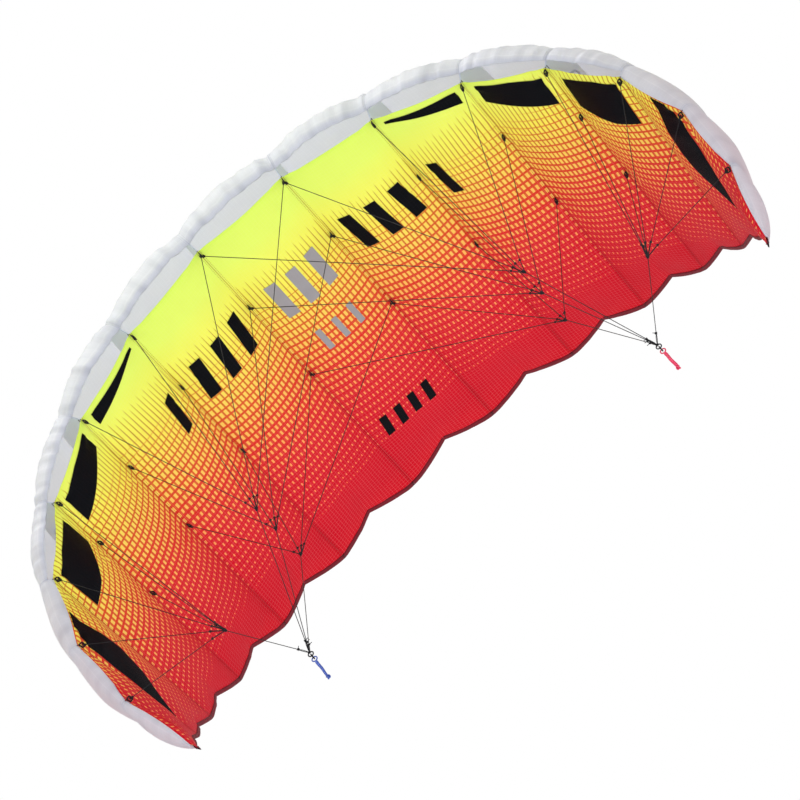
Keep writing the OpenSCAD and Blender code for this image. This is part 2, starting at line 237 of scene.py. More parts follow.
def rib_frame(i):
    """Place, chord, up and span directions and chord of rib i; frame 0 is the far side's rib 1."""
    j = max(i, 1)
    x, z = WIDTH[0] / 2, 0.0
    for k in range(1, j):
        x += WIDTH[k] * math.cos(math.radians(ANGLE[k]))
        z -= WIDTH[k] * math.sin(math.radians(ANGLE[k]))
    tilt = ANGLE[RIBS] if j > RIBS else (ANGLE[j - 1] + ANGLE[j]) / 2
    if i == 0:
        x, tilt = -x, -tilt
    toe = math.radians(TOE * SHARE[j] ** TOE_POWER)
    tilt = math.radians(tilt)
    chord = TIP_CHORD + (CHORD - TIP_CHORD) * (1 - SHARE[j] ** CHORD_POWER)
    return dict(
        at=np.array([x, SWEEP * SHARE[j] ** SWEEP_POWER, z]),
        c=np.array([-math.sin(toe) * math.sin(tilt), math.cos(toe), -math.sin(toe) * math.cos(tilt)]),
        u=np.array([math.cos(toe) * math.sin(tilt), math.sin(toe), math.cos(toe) * math.cos(tilt)]),
        a=np.array([math.cos(tilt), 0.0, -math.sin(tilt)]), chord=chord)


FRAMES = [rib_frame(i) for i in range(RIBS + 2)]


def curve_of(x):
    """The usual thickness curve, 1 at its highest."""
    return 10 * (0.2969 * np.sqrt(x) - 0.126 * x - 0.3516 * x ** 2 + 0.2843 * x ** 3 - 0.1036 * x ** 4)


def height_of(chord):
    """The section's height against the middle one's: it falls faster than the chord, to the tip's share of it."""
    r = chord / CHORD
    return r * (TIP_SLIM + (1 - TIP_SLIM) * r ** 4)


def top_uv(chord, x):
    """Section's top: back along the chord and up, at share x from the upper lip."""
    k = height_of(chord)
    rise = k * (THICK * CHORD - 0.49 * MOUTH)
    return np.stack([x * (chord + NOSE * k) - NOSE * k, MOUTH * k * (1 - x) ** 2 + rise * curve_of(x)], -1)


def top_normal(chord, x):
    """Outward normal of the section's top."""
    d = top_uv(chord, np.minimum(1, x + 0.002)) - top_uv(chord, np.maximum(0, x - 0.002))
    n = np.stack([-d[..., 1], d[..., 0]], -1)
    return n / np.linalg.norm(n, axis=-1, keepdims=True)


def nose_uv(chord, turn):
    """Closed nose: a quarter ellipse from the lower lip, turn 0, to the upper lip."""
    k = height_of(chord)
    return np.stack([-NOSE * k * np.sin(turn), MOUTH * k * (1 - np.cos(turn))], -1)


def nose_normal(turn):
    """Outward normal of the closed nose."""
    d = np.stack([NOSE * np.cos(turn), MOUTH * np.sin(turn)], -1)
    d /= np.linalg.norm(d, axis=-1, keepdims=True)
    return np.stack([-d[..., 1], -d[..., 0]], -1)


def swell(x, lip):
    """How much of the billow is left along the chord: the lip's share at the front and none at the back."""
    return (lip + (1 - lip) * np.minimum(1, x / 0.2)) * (1 - x ** 4)


def waves(s, t, seed, length, count=7):
    """Smooth wrinkles: the mean of a few sine waves whose directions and phases come from the seed."""
    rng = np.random.default_rng(seed)
    out = 0.0
    for _ in range(count):
        way, phase = rng.uniform(0, math.tau, 2)
        pitch = length * rng.uniform(0.7, 1.5)
        out = out + np.sin((s * math.cos(way) + t * math.sin(way)) * math.tau / pitch + phase)
    return out / math.sqrt(count)


TAB_ROWS = {i: [0] for i in range(1, RIBS + 1)}
for i in range(1, 5):
    TAB_ROWS[i] = [0, 1, 2]


def tab_u(i, row):
    """Distance of a tab's middle behind the lower lip."""
    return max(ROWS[row] * FRAMES[i]["chord"], TAB_L / 2)


def surface(k, p, uv_a, uv_b, n_a, n_b, blown, x, push):
    """A skin point between two ribs at share p, pushed out by the billow. Towards the back the cell's middle
    is drawn forward, by the tenth power of x, and up, by its fourth power, which leaves a soft crease."""
    fa, fb = FRAMES[k], FRAMES[k + 1]
    p, x = np.asarray(p)[..., None], x[..., None]
    size = WIDTH[k] / WIDTH[0] * min(1.0, (9 - k) / 5) ** 1.5
    middle, crease = ((1 - np.abs(2 * p - 1)) ** power * size for power in (1.45, 1.1))
    arch = 1 - (2 * p - 1) ** 2
    out = WIDTH[k] * BILLOW * arch * blown[..., None] + push[..., None]
    at_a = fa["at"] + fa["c"] * uv_a[..., :1] + fa["u"] * uv_a[..., 1:]
    at_b = fb["at"] + fb["c"] * uv_b[..., :1] + fb["u"] * uv_b[..., 1:]
    way_a = fa["c"] * n_a[..., :1] + fa["u"] * n_a[..., 1:]
    way_b = fb["c"] * n_b[..., :1] + fb["u"] * n_b[..., 1:]
    c = fa["c"] * (1 - p) + fb["c"] * p
    u = fa["u"] * (1 - p) + fb["u"] * p
    return (at_a * (1 - p) + at_b * p + (way_a * (1 - p) + way_b * p) * out
            - c * SCALLOP * middle * x ** 10
            + u * SCALLOP_LIFT * (middle * x ** 10 + crease * (x ** 4 - x ** 10)))


def seam_distance(k, p):
    """Distance across the cloth to the nearer rib, in millimetres."""
    return np.minimum(p, 1 - p) * WIDTH[k]


def edge_chord(k, p):
    """The chord between the two ribs of a cell, at share p."""
    return FRAMES[k]["chord"] * (1 - p) + FRAMES[k + 1]["chord"] * p


def lower_detail(k, side, p, x):
    """Seam ridge, pull at each tab with wrinkles round it, and slack waves, in millimetres outward."""
    s = (STATION[k] if k else -STATION[1]) + p * WIDTH[k]
    t = x * edge_chord(k, p)
    near = seam_distance(k, p)
    d = 0.55 * np.exp(-(near / 1.1) ** 2) * (x < 0.995)
    d = d + 0.35 * waves(s * side, t, 11, 60) * np.minimum(1, near / 12)
    d = d + 0.5 * waves(s * side * 2.5, t, 5, 46) * np.exp(-near / 9) * np.minimum(1, near / 2)
    for i, q in ((k, 0.0), (k + 1, 1.0)):
        if 1 <= max(i, 1) <= RIBS:
            for row in TAB_ROWS[max(i, 1)]:
                ds, dt = (p - q) * WIDTH[k], t - tab_u(max(i, 1), row)
                r = np.hypot(ds, dt)
                d = d + 1.6 * np.exp(-r / 8)
                d = d + 1.1 * np.exp(-((r - 21) / 9) ** 2) * np.cos(8 * np.arctan2(dt, np.abs(ds)) + row + i)
    back = np.clip((x - 0.86) / 0.14, 0, 1)
    return d + 0.6 * back * waves(s * side, t * 0.4, 23, 22) * (1 - back * 0.5)


def lower(k, side, p, x, lift=0.5):
    """Points of cell k's lower skin at shares p across and x along, lift millimetres outside its inner face."""
    p, x = np.broadcast_arrays(np.asarray(p, float), np.asarray(x, float))
    zero = np.zeros_like(x)
    fa, fb = FRAMES[k], FRAMES[k + 1]
    down = np.stack([zero, zero - 1], -1)
    pts = surface(k, p, np.stack([x * fa["chord"], zero], -1), np.stack([x * fb["chord"], zero], -1),
                  down, down, swell(x, LIP_BILLOW), x, lift + lower_detail(k, side, p, x))
    return to_row(pts, side)


def upper_detail(k, side, p, x):
    """Seam ridge, gathers behind the upper lip that fade back along the chord, and slack waves."""
    s = (STATION[k] if k else -STATION[1]) + p * WIDTH[k]
    t = x * edge_chord(k, p)
    near = seam_distance(k, p)
    front = np.exp(-np.maximum(x, 0) * CHORD / 34)
    d = 0.5 * np.exp(-(near / 1.2) ** 2)
    d = d + 1.2 * front * waves(s * side, t * 0.35, 31 + k, 17) * np.minimum(1, near / 4)
    d = d + 1.7 * front * waves(s * side + t, t - s * side * 0.6, 47, 52) * np.minimum(1, near / 5)
    d = d + 0.4 * waves(s * side, t, 17, 70) * np.minimum(1, near / 12)
    return d + 0.45 * waves(s * side * 2.4, t, 19, 44) * np.exp(-near / 10) * np.minimum(1, near / 2)


def upper(k, side, p, x, lift=0.5):
    """Points of cell k's upper skin; x below 0 runs round a closed nose, down to -1 at the lower lip."""
    p, x = np.broadcast_arrays(np.asarray(p, float), np.asarray(x, float))
    fa, fb = FRAMES[k], FRAMES[k + 1]
    xt, turn = np.maximum(x, 0), (1 + np.minimum(x, 0)) * math.pi / 2
    nose = (x < 0)[..., None]
    uv = [np.where(nose, nose_uv(f["chord"], turn), top_uv(f["chord"], xt)) for f in (fa, fb)]
    n = [np.where(nose, nose_normal(turn), top_normal(f["chord"], xt)) for f in (fa, fb)]
    calm = np.where(x < 0, np.clip(1 + x, 0, 1) * 0.5, 1) if k > LAST_OPEN else 1.0
    lip = NOSE_BILLOW if k <= LAST_OPEN else LIP_BILLOW
    pts = surface(k, p, uv[0], uv[1], n[0], n[1], np.where(x < 0, lip, swell(xt, lip)), xt,
                  lift + upper_detail(k, side, p, xt) * (0.35 if k > LAST_OPEN else 1.0) * calm)
    return to_row(pts, side)


def to_row(points, side):
    """From the layout, on the right-hand side, to the row frame in metres, mirrored for the left."""
    pts = np.array(points, float)
    if side < 0:
        pts[..., 0] *= -1
    return (pts + SHIFT) * MM


def print_depth(s, t):
    """How far into the print a point is: it starts behind the leading edge in the middle, ahead of it at the tips."""
    start = np.interp(np.abs(s), [0, 180, 270, 320, 440, 520, 575, 640, 700, 760, 850],
                      [82, 80, 50, 39, 0, -25, -45, -110, -195, -280, -370])
    return t - start


# ---------------------------------------------------------------- camera, light and stage
def make_camera():
    """A long lens below and in front, looking up and back, rolled so that the red pigtail's side is high."""
    lift, yaw, roll, far = math.radians(47.0), math.radians(-1.5), math.radians(40.4), 6.54
    target = (np.array([0, 250.0, -200.0]) + SHIFT) * MM
    ahead = np.array([math.sin(yaw) * math.cos(lift), math.cos(yaw) * math.cos(lift), math.sin(lift)])
    right = np.array([math.cos(yaw), -math.sin(yaw), 0.0])
    up = np.cross(right, ahead)
    x_axis = right * math.cos(roll) - up * math.sin(roll)
    y_axis = right * math.sin(roll) + up * math.cos(roll)
    data = bpy.data.cameras.new("camera")
    data.sensor_width, data.lens, data.clip_end = 36.0, 229.5, 100
    data.shift_x, data.shift_y = -0.00575, 0.0014
    cam = bpy.data.objects.new("camera", data)
    cam.matrix_world = Matrix([list(x) + [o] for x, o in
                               zip(np.stack([x_axis, y_axis, -ahead], 1), target - ahead * far)] + [[0, 0, 0, 1]])
    bpy.context.collection.objects.link(cam)
    bpy.context.scene.camera = cam
    return right, up, ahead, target


def make_light(right, up, ahead, target):
    """A white sky, one soft sun from the camera's side and a weak one from above."""
    world = bpy.data.worlds.new("sky")
    bpy.context.scene.world = world
    world.use_nodes = True
    tree = world.node_tree
    tree.nodes.clear()
    out = tree.nodes.new("ShaderNodeOutputWorld")
    mix = tree.nodes.new("ShaderNodeMixShader")
    seen, sky = tree.nodes.new("ShaderNodeBackground"), tree.nodes.new("ShaderNodeBackground")
    seen.inputs[0].default_value, seen.inputs[1].default_value = (1, 1, 1, 1), 1.0
    sky.inputs[0].default_value, sky.inputs[1].default_value = (0.97, 0.98, 1.0, 1), 0.82
    path = tree.nodes.new("ShaderNodeLightPath")
    tree.links.new(path.outputs["Is Camera Ray"], mix.inputs[0])
    tree.links.new(sky.outputs[0], mix.inputs[1])
    tree.links.new(seen.outputs[0], mix.inputs[2])
    tree.links.new(mix.outputs[0], out.inputs[0])
    for name, way, power, size in (("key", ahead * 0.62 - right * 0.75 - up * 0.2, 4.4, 14),
                                   ("top", np.array([0.1, 0.3, -1.0]), 3.0, 40)):
        data = bpy.data.lights.new(name, "SUN")
        data.energy, data.angle = power, math.radians(size)
        sun = bpy.data.objects.new(name, data)
        sun.rotation_euler = Vector(way).to_track_quat("-Z", "Y").to_euler()
        sun.location = tuple(target - way * 3)
        bpy.context.collection.objects.link(sun)
    settings = bpy.context.scene.view_settings
    settings.view_transform, settings.look = "Standard", "None"


AXES = make_camera()
make_light(*AXES)


# ---------------------------------------------------------------- mesh and node helpers
def lin(r, g, b):
    """An 8-bit display colour as linear light."""
    return tuple(((c / 255 + 0.055) / 1.055) ** 2.4 if c > 10 else c / 255 / 12.92 for c in (r, g, b)) + (1.0,)


def piece(name, verts, faces, material, body=None, slot=None, uv=None, values=None, smooth=True):
    """A mesh object from arrays of points and equal-length faces, with a UV map and point values."""
    verts, faces = np.asarray(verts, float).reshape(-1, 3), np.asarray(faces, int)
    mesh = bpy.data.meshes.new(name)
    n, m = faces.shape
    mesh.vertices.add(len(verts))
    mesh.vertices.foreach_set("co", verts.ravel())
    mesh.loops.add(n * m)
    mesh.loops.foreach_set("vertex_index", faces.ravel())
    mesh.polygons.add(n)
    mesh.polygons.foreach_set("loop_start", np.arange(n) * m)
    mesh.polygons.foreach_set("use_smooth", np.full(n, smooth))
    if uv is not None:
        layer = mesh.uv_layers.new(name="cloth")
        layer.data.foreach_set("uv", np.asarray(uv, float).reshape(-1, 2)[faces.ravel()].ravel())
    for key, value in (values or {}).items():
        mesh.attributes.new(key, "FLOAT", "POINT").data.foreach_set("value", np.ravel(value).astype(float))
    mesh.update(calc_edges=True)
    mesh.validate()
    mesh.materials.append(material)
    obj = bpy.data.objects.new(name, mesh)
    bpy.context.collection.objects.link(obj)
    if body:
        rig.ride(obj, body)
    if slot:
        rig.slot(obj, slot)
    return obj


def grid_faces(rows, cols, start=0, wrap=False, flip=False):
    """Quads of a rows by cols grid of points; wrap joins the last column to the first."""
    j, i = np.meshgrid(np.arange(rows - 1), np.arange(cols if wrap else cols - 1), indexing="ij")
    a = (j * cols + i).ravel()
    b = (j * cols + (i + 1) % cols).ravel()
    quads = np.stack([a, b, b + cols, a + cols], 1) + start
    return quads[:, ::-1] if flip else quads


class Parts:
    """Gathers several grids into one mesh."""

    def __init__(self):
        self.verts, self.faces, self.uv, self.count = [], [], [], 0

    def grid(self, pts, wrap=False, uv=None, flip=False):
        rows, cols = pts.shape[:2]
        self.faces.append(grid_faces(rows, cols, self.count, wrap, flip))
        self.verts.append(pts.reshape(-1, 3))
        self.uv.append(np.zeros((rows * cols, 2)) if uv is None else uv.reshape(-1, 2))
        self.count += rows * cols

    def make(self, name, material, body, slot=None, smooth=True):
        return piece(name, np.concatenate(self.verts), np.concatenate(self.faces), material, body, slot,
                     np.concatenate(self.uv), smooth=smooth)


def sweep(path, radius, sides=8, twist=0.0, closed=False, tip=True):
    """Rings of points along a path, by parallel transport; radius may be one number or one per point."""
    path = np.asarray(path, float)
    n = len(path)
    radius = np.broadcast_to(np.asarray(radius, float), n)
    step = np.roll(path, -1, 0) - np.roll(path, 1, 0) if closed else np.gradient(path, axis=0)
    step /= np.linalg.norm(step, axis=1, keepdims=True)
    side = np.cross(step[0], [0.31, 0.2, 0.93])
    side /= np.linalg.norm(side)
    rings = []
    angle = np.arange(sides) * math.tau / sides
    for j in range(n):
        side = side - step[j] * (side @ step[j])
        side /= np.linalg.norm(side)
        other = np.cross(step[j], side)
        a = (angle + twist * j)[:, None]
        rings.append(path[j] + radius[j] * (np.cos(a) * side + np.sin(a) * other))
    rings = np.array(rings)
    if closed:
        return np.concatenate([rings, rings[:1]])
    if tip:
        return np.concatenate([np.repeat(path[None, :1], sides, 1), rings, np.repeat(path[None, -1:], sides, 1)])
    return rings


def tube_uv(rings, path_length):
    """u runs round the tube and v along it, in metres."""
    rows, cols = rings.shape[:2]
    v, u = np.meshgrid(np.linspace(0, path_length, rows), np.arange(cols) / cols, indexing="ij")
    return np.stack([u, v], -1)


def path_length(path):
    return float(np.linalg.norm(np.diff(np.asarray(path), axis=0), axis=1).sum())


class Tree:
    """A short way to write node trees: each call adds a node and returns its output."""

    def __init__(self, tree):
        self.tree = tree

    def node(self, kind, *inputs, out=0, **settings):
        node = self.tree.nodes.new(kind)
        for key, value in settings.items():
            setattr(node, key, value)
        for index, value in enumerate(inputs):
            self.feed(node.inputs[index], value)
        return node.outputs[out]

    def feed(self, socket, value):
        if isinstance(value, bpy.types.NodeSocket):
            self.tree.links.new(value, socket)
        elif value is not None:
            socket.default_value = value

    def math(self, op, a, b=None, c=None, clamp=False):
        return self.node("ShaderNodeMath", a, b, c, operation=op, use_clamp=clamp)

    def ramp(self, value, low, high, points, smooth=False):
        """Looks value up in a list of (place, number or colour); the places run from low to high."""
        node = self.tree.nodes.new("ShaderNodeValToRGB")
        node.color_ramp.interpolation = "EASE" if smooth else "LINEAR"
        stops = node.color_ramp.elements
        for index, (place, level) in enumerate(points):
            stop = stops[index] if index < 2 else stops.new(1.0)
            stop.position = (place - low) / (high - low)
            stop.color = level if isinstance(level, tuple) else (level, level, level, 1)
        self.feed(node.inputs[0], self.math("DIVIDE", self.math("SUBTRACT", value, low), high - low, clamp=True))
        return node.outputs[0]

    def mix(self, fac, a, b, blend="MIX"):
        node = self.tree.nodes.new("ShaderNodeMix")
        node.data_type, node.blend_type = "RGBA", blend
        self.feed(node.inputs[0], fac)
        self.feed(node.inputs[6], a)
        self.feed(node.inputs[7], b)
        return node.outputs[2]

    def bump(self, height, strength, distance, normal=None):
        node = self.tree.nodes.new("ShaderNodeBump")
        node.inputs["Strength"].default_value = strength
        node.inputs["Distance"].default_value = distance
        self.feed(node.inputs["Height"], height)
        if normal is not None:
            self.feed(node.inputs["Normal"], normal)
        return node.outputs[0]


def group(name, inputs, outputs, build):
    """A node group: build gets the tree and the named inputs and returns the outputs in order."""
    tree = bpy.data.node_groups.new(name, "ShaderNodeTree")
    for label, kind in inputs:
        tree.interface.new_socket(label, in_out="INPUT", socket_type=kind)
    for label, kind in outputs:
        tree.interface.new_socket(label, in_out="OUTPUT", socket_type=kind)
    source, sink = tree.nodes.new("NodeGroupInput"), tree.nodes.new("NodeGroupOutput")
    results = build(Tree(tree), {label: source.outputs[label] for label, _ in inputs})
    for socket, value in zip(sink.inputs, results):
        tree.links.new(value, socket)
    return tree


def use_group(t, tree, **inputs):
    node = t.tree.nodes.new("ShaderNodeGroup")
    node.node_tree = tree
    for label, value in inputs.items():
        t.feed(node.inputs[label], value)
    return node.outputs


def material(name, build):
    """A material: build gets the tree and the Principled node and may return a shader to show instead."""
    mat = bpy.data.materials.new(name)
    mat.use_nodes = True
    tree = mat.node_tree
    bsdf = next(n for n in tree.nodes if n.type == "BSDF_PRINCIPLED")
    output = next(n for n in tree.nodes if n.type == "OUTPUT_MATERIAL")
    shader = build(Tree(tree), bsdf)
    if shader is not None:
        tree.links.new(shader, output.inputs[0])
    return mat


# ---------------------------------------------------------------- shared effects
def ripstop_build(t, i):
    """Fine weave with a heavier thread every 5 mm, as a mask and a height; and slow dirt and sheen noise."""
    x = t.math("DIVIDE", t.node("ShaderNodeSeparateXYZ", i["Place"], out=0), 0.005)
    y = t.math("DIVIDE", t.node("ShaderNodeSeparateXYZ", i["Place"], out=1), 0.005)
    threads = []
    for v in (x, y):
        away = t.math("ABSOLUTE", t.math("SUBTRACT", t.math("FRACT", v), 0.5))
        threads.append(t.math("GREATER_THAN", away, 0.455))
    mask = t.math("MAXIMUM", threads[0], threads[1])
    fine = t.math("MULTIPLY", t.math("SINE", t.math("MULTIPLY", x, 75.0)), t.math("SINE", t.math("MULTIPLY", y, 75.0)))
    height = t.math("MULTIPLY_ADD", fine, 0.25, mask)
    slow = t.node("ShaderNodeTexNoise", i["Place"], None, 26.0, 4.0, 0.55)
    return mask, height, slow


RIPSTOP = group("ripstop_weave", [("Place", "NodeSocketVector")],
                [("Mask", "NodeSocketFloat"), ("Height", "NodeSocketFloat"), ("Slow", "NodeSocketFloat")],
                ripstop_build)


def stitch_build(t, i):
    """Two rows of stitches beside a seam, from the distance to it and the place along it, both in metres."""
    rows = t.math("LESS_THAN", t.math("ABSOLUTE", t.math("SUBTRACT", i["Distance"], 0.0024)), 0.00045)
    dash = t.math("LESS_THAN", t.math("FRACT", t.math("DIVIDE", i["Along"], 0.0034)), 0.68)
    fold = t.math("LESS_THAN", i["Distance"], 0.0008)
    return t.math("MULTIPLY", rows, dash), fold


STITCHES = group("seam_stitches", [("Distance", "NodeSocketFloat"), ("Along", "NodeSocketFloat")],
                 [("Thread", "NodeSocketFloat"), ("Fold", "NodeSocketFloat")], stitch_build)


def braid_build(t, i):
    """Crossing strands round and along a tube, from its UV: a height and a shade."""
    u = t.node("ShaderNodeSeparateXYZ", i["Place"], out=0)
    v = t.math("MULTIPLY", t.node("ShaderNodeSeparateXYZ", i["Place"], out=1), i["Pitch"])
    a = t.math("SINE", t.math("MULTIPLY", t.math("ADD", t.math("MULTIPLY", u, 4.0), v), math.tau))
    b = t.math("SINE", t.math("MULTIPLY", t.math("SUBTRACT", t.math("MULTIPLY", u, 4.0), v), math.tau))
    return t.math("MAXIMUM", a, b), t.math("MULTIPLY", a, b)


BRAID = group("braided_cord", [("Place", "NodeSocketVector"), ("Pitch", "NodeSocketFloat")],
              [("Height", "NodeSocketFloat"), ("Shade", "NodeSocketFloat")], braid_build)


def print_build(t, i):
    """The canopy's print. Chordwise lines start at depth 0 and spanwise lines behind them; both thicken with
    depth until the ground between them shrinks to dots and goes. Depth is in millimetres."""
    s = t.math("MULTIPLY", t.node("ShaderNodeSeparateXYZ", i["Place"], out=0), 1000.0)
    y = t.math("MULTIPLY", t.node("ShaderNodeSeparateXYZ", i["Place"], out=1), 1000.0)
    depth = i["Depth"]
    pitch_s, pitch_y, soft = 6.7, 13.4, 0.35

    def line(along, pitch, late, points):
        """Ink of evenly spaced lines whose half width, in millimetres, follows the depth."""
        away = t.math("SUBTRACT", 0.5, t.math("ABSOLUTE", t.math("SUBTRACT", t.math("FRACT",
                      t.math("DIVIDE", along, pitch)), 0.5)))
        half = t.math("MULTIPLY", t.ramp(late, -20, 400, [(d, w / 7) for d, w in points]), 7.0)
        edge = t.math("SUBTRACT", half, t.math("MULTIPLY", away, pitch))
        cover = t.math("ADD", t.math("DIVIDE", edge, 2 * soft), 0.5, clamp=True)
        return t.math("MULTIPLY", cover, t.math("DIVIDE", half, 0.6, clamp=True))

    stagger = t.math("MULTIPLY", t.math("FRACT", t.math("MULTIPLY", t.math("FLOOR",
                     t.math("ADD", t.math("DIVIDE", s, pitch_s), 0.5)), 0.5)), 14.0)
    wave = t.math("MULTIPLY", t.math("SUBTRACT", t.node("ShaderNodeTexNoise", i["Place"], None, 14.0), 0.5), 9.0)
    late = t.math("ADD", depth, wave)
    lines_s = line(s, pitch_s, t.math("SUBTRACT", late, stagger),
                   [(-20, 0), (0, 0), (9, 0.5), (50, 0.8), (120, 1.2), (170, 1.5), (230, 2.0), (280, 2.35),
                    (330, 2.55), (375, 2.75), (398, 3.6)])
    lines_y = line(y, pitch_y, late,
                   [(-20, 0), (44, 0), (60, 0.55), (100, 1.25), (140, 1.9), (230, 3.0), (280, 3.7), (320, 4.35),
                    (350, 4.7), (382, 5.3), (398, 7.0)])
    paler = t.math("ADD", t.math("MULTIPLY", depth, 0.75), t.math("MULTIPLY", t.math("SUBTRACT", y, 60.0), 0.25))
    ground = t.ramp(paler, -120, 400, [(-120, lin(220, 252, 100)), (-30, lin(232, 253, 106)), (25, lin(250, 248, 94)),
                                       (70, lin(254, 238, 86)), (120, lin(255, 222, 92)), (180, lin(255, 202, 94)),
                                       (250, lin(254, 172, 90)), (400, lin(250, 140, 88))])
    fine = t.ramp(depth, -20, 460, [(-20, lin(192, 182, 50)), (40, lin(190, 142, 38)), (90, lin(208, 118, 32)),
                                    (150, lin(226, 100, 34)), (220, lin(226, 66, 42)), (290, lin(220, 34, 46)),
                                    (460, lin(212, 4, 32))])
    broad = t.ramp(depth, 20, 500, [(20, lin(214, 160, 44)), (90, lin(222, 112, 34)), (140, lin(226, 82, 34)),
                                    (200, lin(228, 50, 36)), (260, lin(222, 34, 42)), (330, lin(214, 12, 36)),
                                    (430, lin(204, 4, 32)), (500, lin(212, 5, 28))])
    return (t.mix(lines_y, t.mix(lines_s, ground, fine), broad),)


def gathers_build(t, i):
    """Gathers behind a lip: long noise across the cloth, in the first four centimetres, as painted shade in the folds
    and a height.
    """
    place = t.node("ShaderNodeSeparateXYZ", i["Place"], out=0)
    back = t.node("ShaderNodeSeparateXYZ", i["Place"], out=1)
    stretched = t.node("ShaderNodeCombineXYZ", place, t.math("MULTIPLY", back, 0.22), 0.0)
    folds = t.node("ShaderNodeTexNoise", stretched, None, 62.0, 4.0, 0.62, 0.0, 1.4)
    fade = t.math("SUBTRACT", 1.0, t.math("DIVIDE", back, 0.06), clamp=True)
    # Painted shade: the deeper folds of the gathers are darkened in colour, not only in relief.
    painted_crease_shade = t.math("MULTIPLY", t.math("MULTIPLY", t.math("SUBTRACT", folds, 0.5), 4.0, clamp=True), fade)
    return (t.math("MULTIPLY", painted_crease_shade, 0.85), t.math("MULTIPLY", folds, fade))


GATHERS = group("lip_gathers", [("Place", "NodeSocketVector")],
                [("Tint", "NodeSocketFloat"), ("Height", "NodeSocketFloat")], gathers_build)
PRINT = group("canopy_print", [("Place", "NodeSocketVector"), ("Depth", "NodeSocketFloat")],
              [("Color", "NodeSocketColor")], print_build)


# ---------------------------------------------------------------- materials
def cloth_uv(t):
    return t.node("ShaderNodeUVMap", uv_map="cloth")


def value_of(t, name):
    return t.node("ShaderNodeAttribute", attribute_name=name, out=2)


def cloth_shader(t, bsdf, color, glow, through, roughness, height, relief, sheen=0.25, gloss=0.3):
    """Ripstop: a coated surface with a little sheen, mixed with light that comes through the cloth."""
    normal = t.bump(height, 0.5, 0.00022, relief)
    t.feed(bsdf.inputs["Base Color"], color)
    t.feed(bsdf.inputs["Normal"], normal)
    bsdf.inputs["Roughness"].default_value = roughness
    bsdf.inputs["Specular IOR Level"].default_value = gloss
    bsdf.inputs["Sheen Weight"].default_value = sheen
    bsdf.inputs["Sheen Roughness"].default_value = 0.4
    lit = t.node("ShaderNodeBsdfTranslucent", glow, normal)
    return t.node("ShaderNodeMixShader", through, bsdf.outputs[0], lit)


def wrinkle_relief(t, scale, strength, depth):
    """Small creases from stretched noise in the row frame."""
    place = t.node("ShaderNodeTexCoord", out=3)
    noise = t.node("ShaderNodeTexNoise", place, None, scale, 5.0, 0.6, 0.0, 0.8)
    return t.bump(noise, strength, depth)


def printed_cloth(t, bsdf):
    place = cloth_uv(t)
    along = t.node("ShaderNodeSeparateXYZ", place, out=1)
    weave = use_group(t, RIPSTOP, Place=place)
    seam = use_group(t, STITCHES, Distance=value_of(t, "seam"), Along=along)
    color = use_group(t, PRINT, Place=place, Depth=value_of(t, "depth"))[0]
    color = t.mix(t.math("MULTIPLY", weave[0], 0.07), color, (1, 1, 1, 1))
    color = t.mix(t.math("MULTIPLY", weave[2], 0.16), color, t.mix(1.0, color, lin(206, 190, 190), "MULTIPLY"))
    color = t.mix(t.math("MULTIPLY", seam[1], 0.42), color, t.mix(1.0, color, lin(150, 60, 50), "MULTIPLY"))
    color = t.mix(t.math("MULTIPLY", seam[0], 0.5), color, t.mix(1.0, color, lin(150, 110, 90), "MULTIPLY"))
    return cloth_shader(t, bsdf, color, color, 0.3, 0.5, t.math("ADD", weave[1], t.math("MULTIPLY", seam[0], 3.0)),
                        wrinkle_relief(t, 38.0, 0.35, 0.004), 0.02, 0.08)


def white_cloth(t, bsdf):
    place = cloth_uv(t)
    along = t.node("ShaderNodeSeparateXYZ", place, out=1)
    weave = use_group(t, RIPSTOP, Place=place)
    seam = use_group(t, STITCHES, Distance=value_of(t, "seam"), Along=along)
    color = t.mix(weave[2], lin(200, 202, 210), lin(222, 223, 229))
    color = t.mix(t.math("MULTIPLY", weave[0], 0.3), color, lin(236, 237, 242))
    gather = use_group(t, GATHERS, Place=place)
    # Painted shade: the gathers' folds are darkened to a blue-grey.
    color = t.mix(gather[0], color, lin(146, 149, 164))
    # Painted shade: the skin's inner face, seen through the open mouths, is darkened to a cool blue-grey.
    inside = t.node("ShaderNodeNewGeometry", out=6)
    color = t.mix(inside, color, t.mix(1.0, color, lin(212, 221, 240), "MULTIPLY"))
    color = t.mix(t.math("MULTIPLY", seam[1], 0.5), color, lin(176, 180, 194))
    color = t.mix(t.math("MULTIPLY", seam[0], 0.8), color, lin(188, 190, 200))
    return cloth_shader(t, bsdf, color, lin(230, 232, 240), 0.4, 0.45,
                        t.math("ADD", weave[1], t.math("MULTIPLY", seam[0], 3.0)),
                        t.bump(gather[1], 0.7, 0.004, wrinkle_relief(t, 34.0, 0.8, 0.010)), 0.1, 0.2)


def rib_cloth(t, bsdf):
    place = cloth_uv(t)
    weave = use_group(t, RIPSTOP, Place=place)
    color = t.mix(weave[2], lin(206, 214, 228), lin(228, 232, 242))
    color = t.mix(t.math("MULTIPLY", weave[0], 0.3), color, lin(240, 242, 247))
    return cloth_shader(t, bsdf, color, lin(232, 238, 250), 0.55, 0.5, weave[1], wrinkle_relief(t, 50.0, 0.3, 0.003))


def black_cloth(t, bsdf):
    place = cloth_uv(t)
    weave = use_group(t, RIPSTOP, Place=place)
    color = t.mix(weave[2], lin(1, 2, 6), lin(5, 6, 11))
    color = t.mix(t.math("MULTIPLY", weave[0], 0.35), color, lin(16, 18, 26))
    return cloth_shader(t, bsdf, color, lin(3, 3, 8), 0.04, 0.5, weave[1],
                        wrinkle_relief(t, 38.0, 0.35, 0.004), 0.0, 0.04)


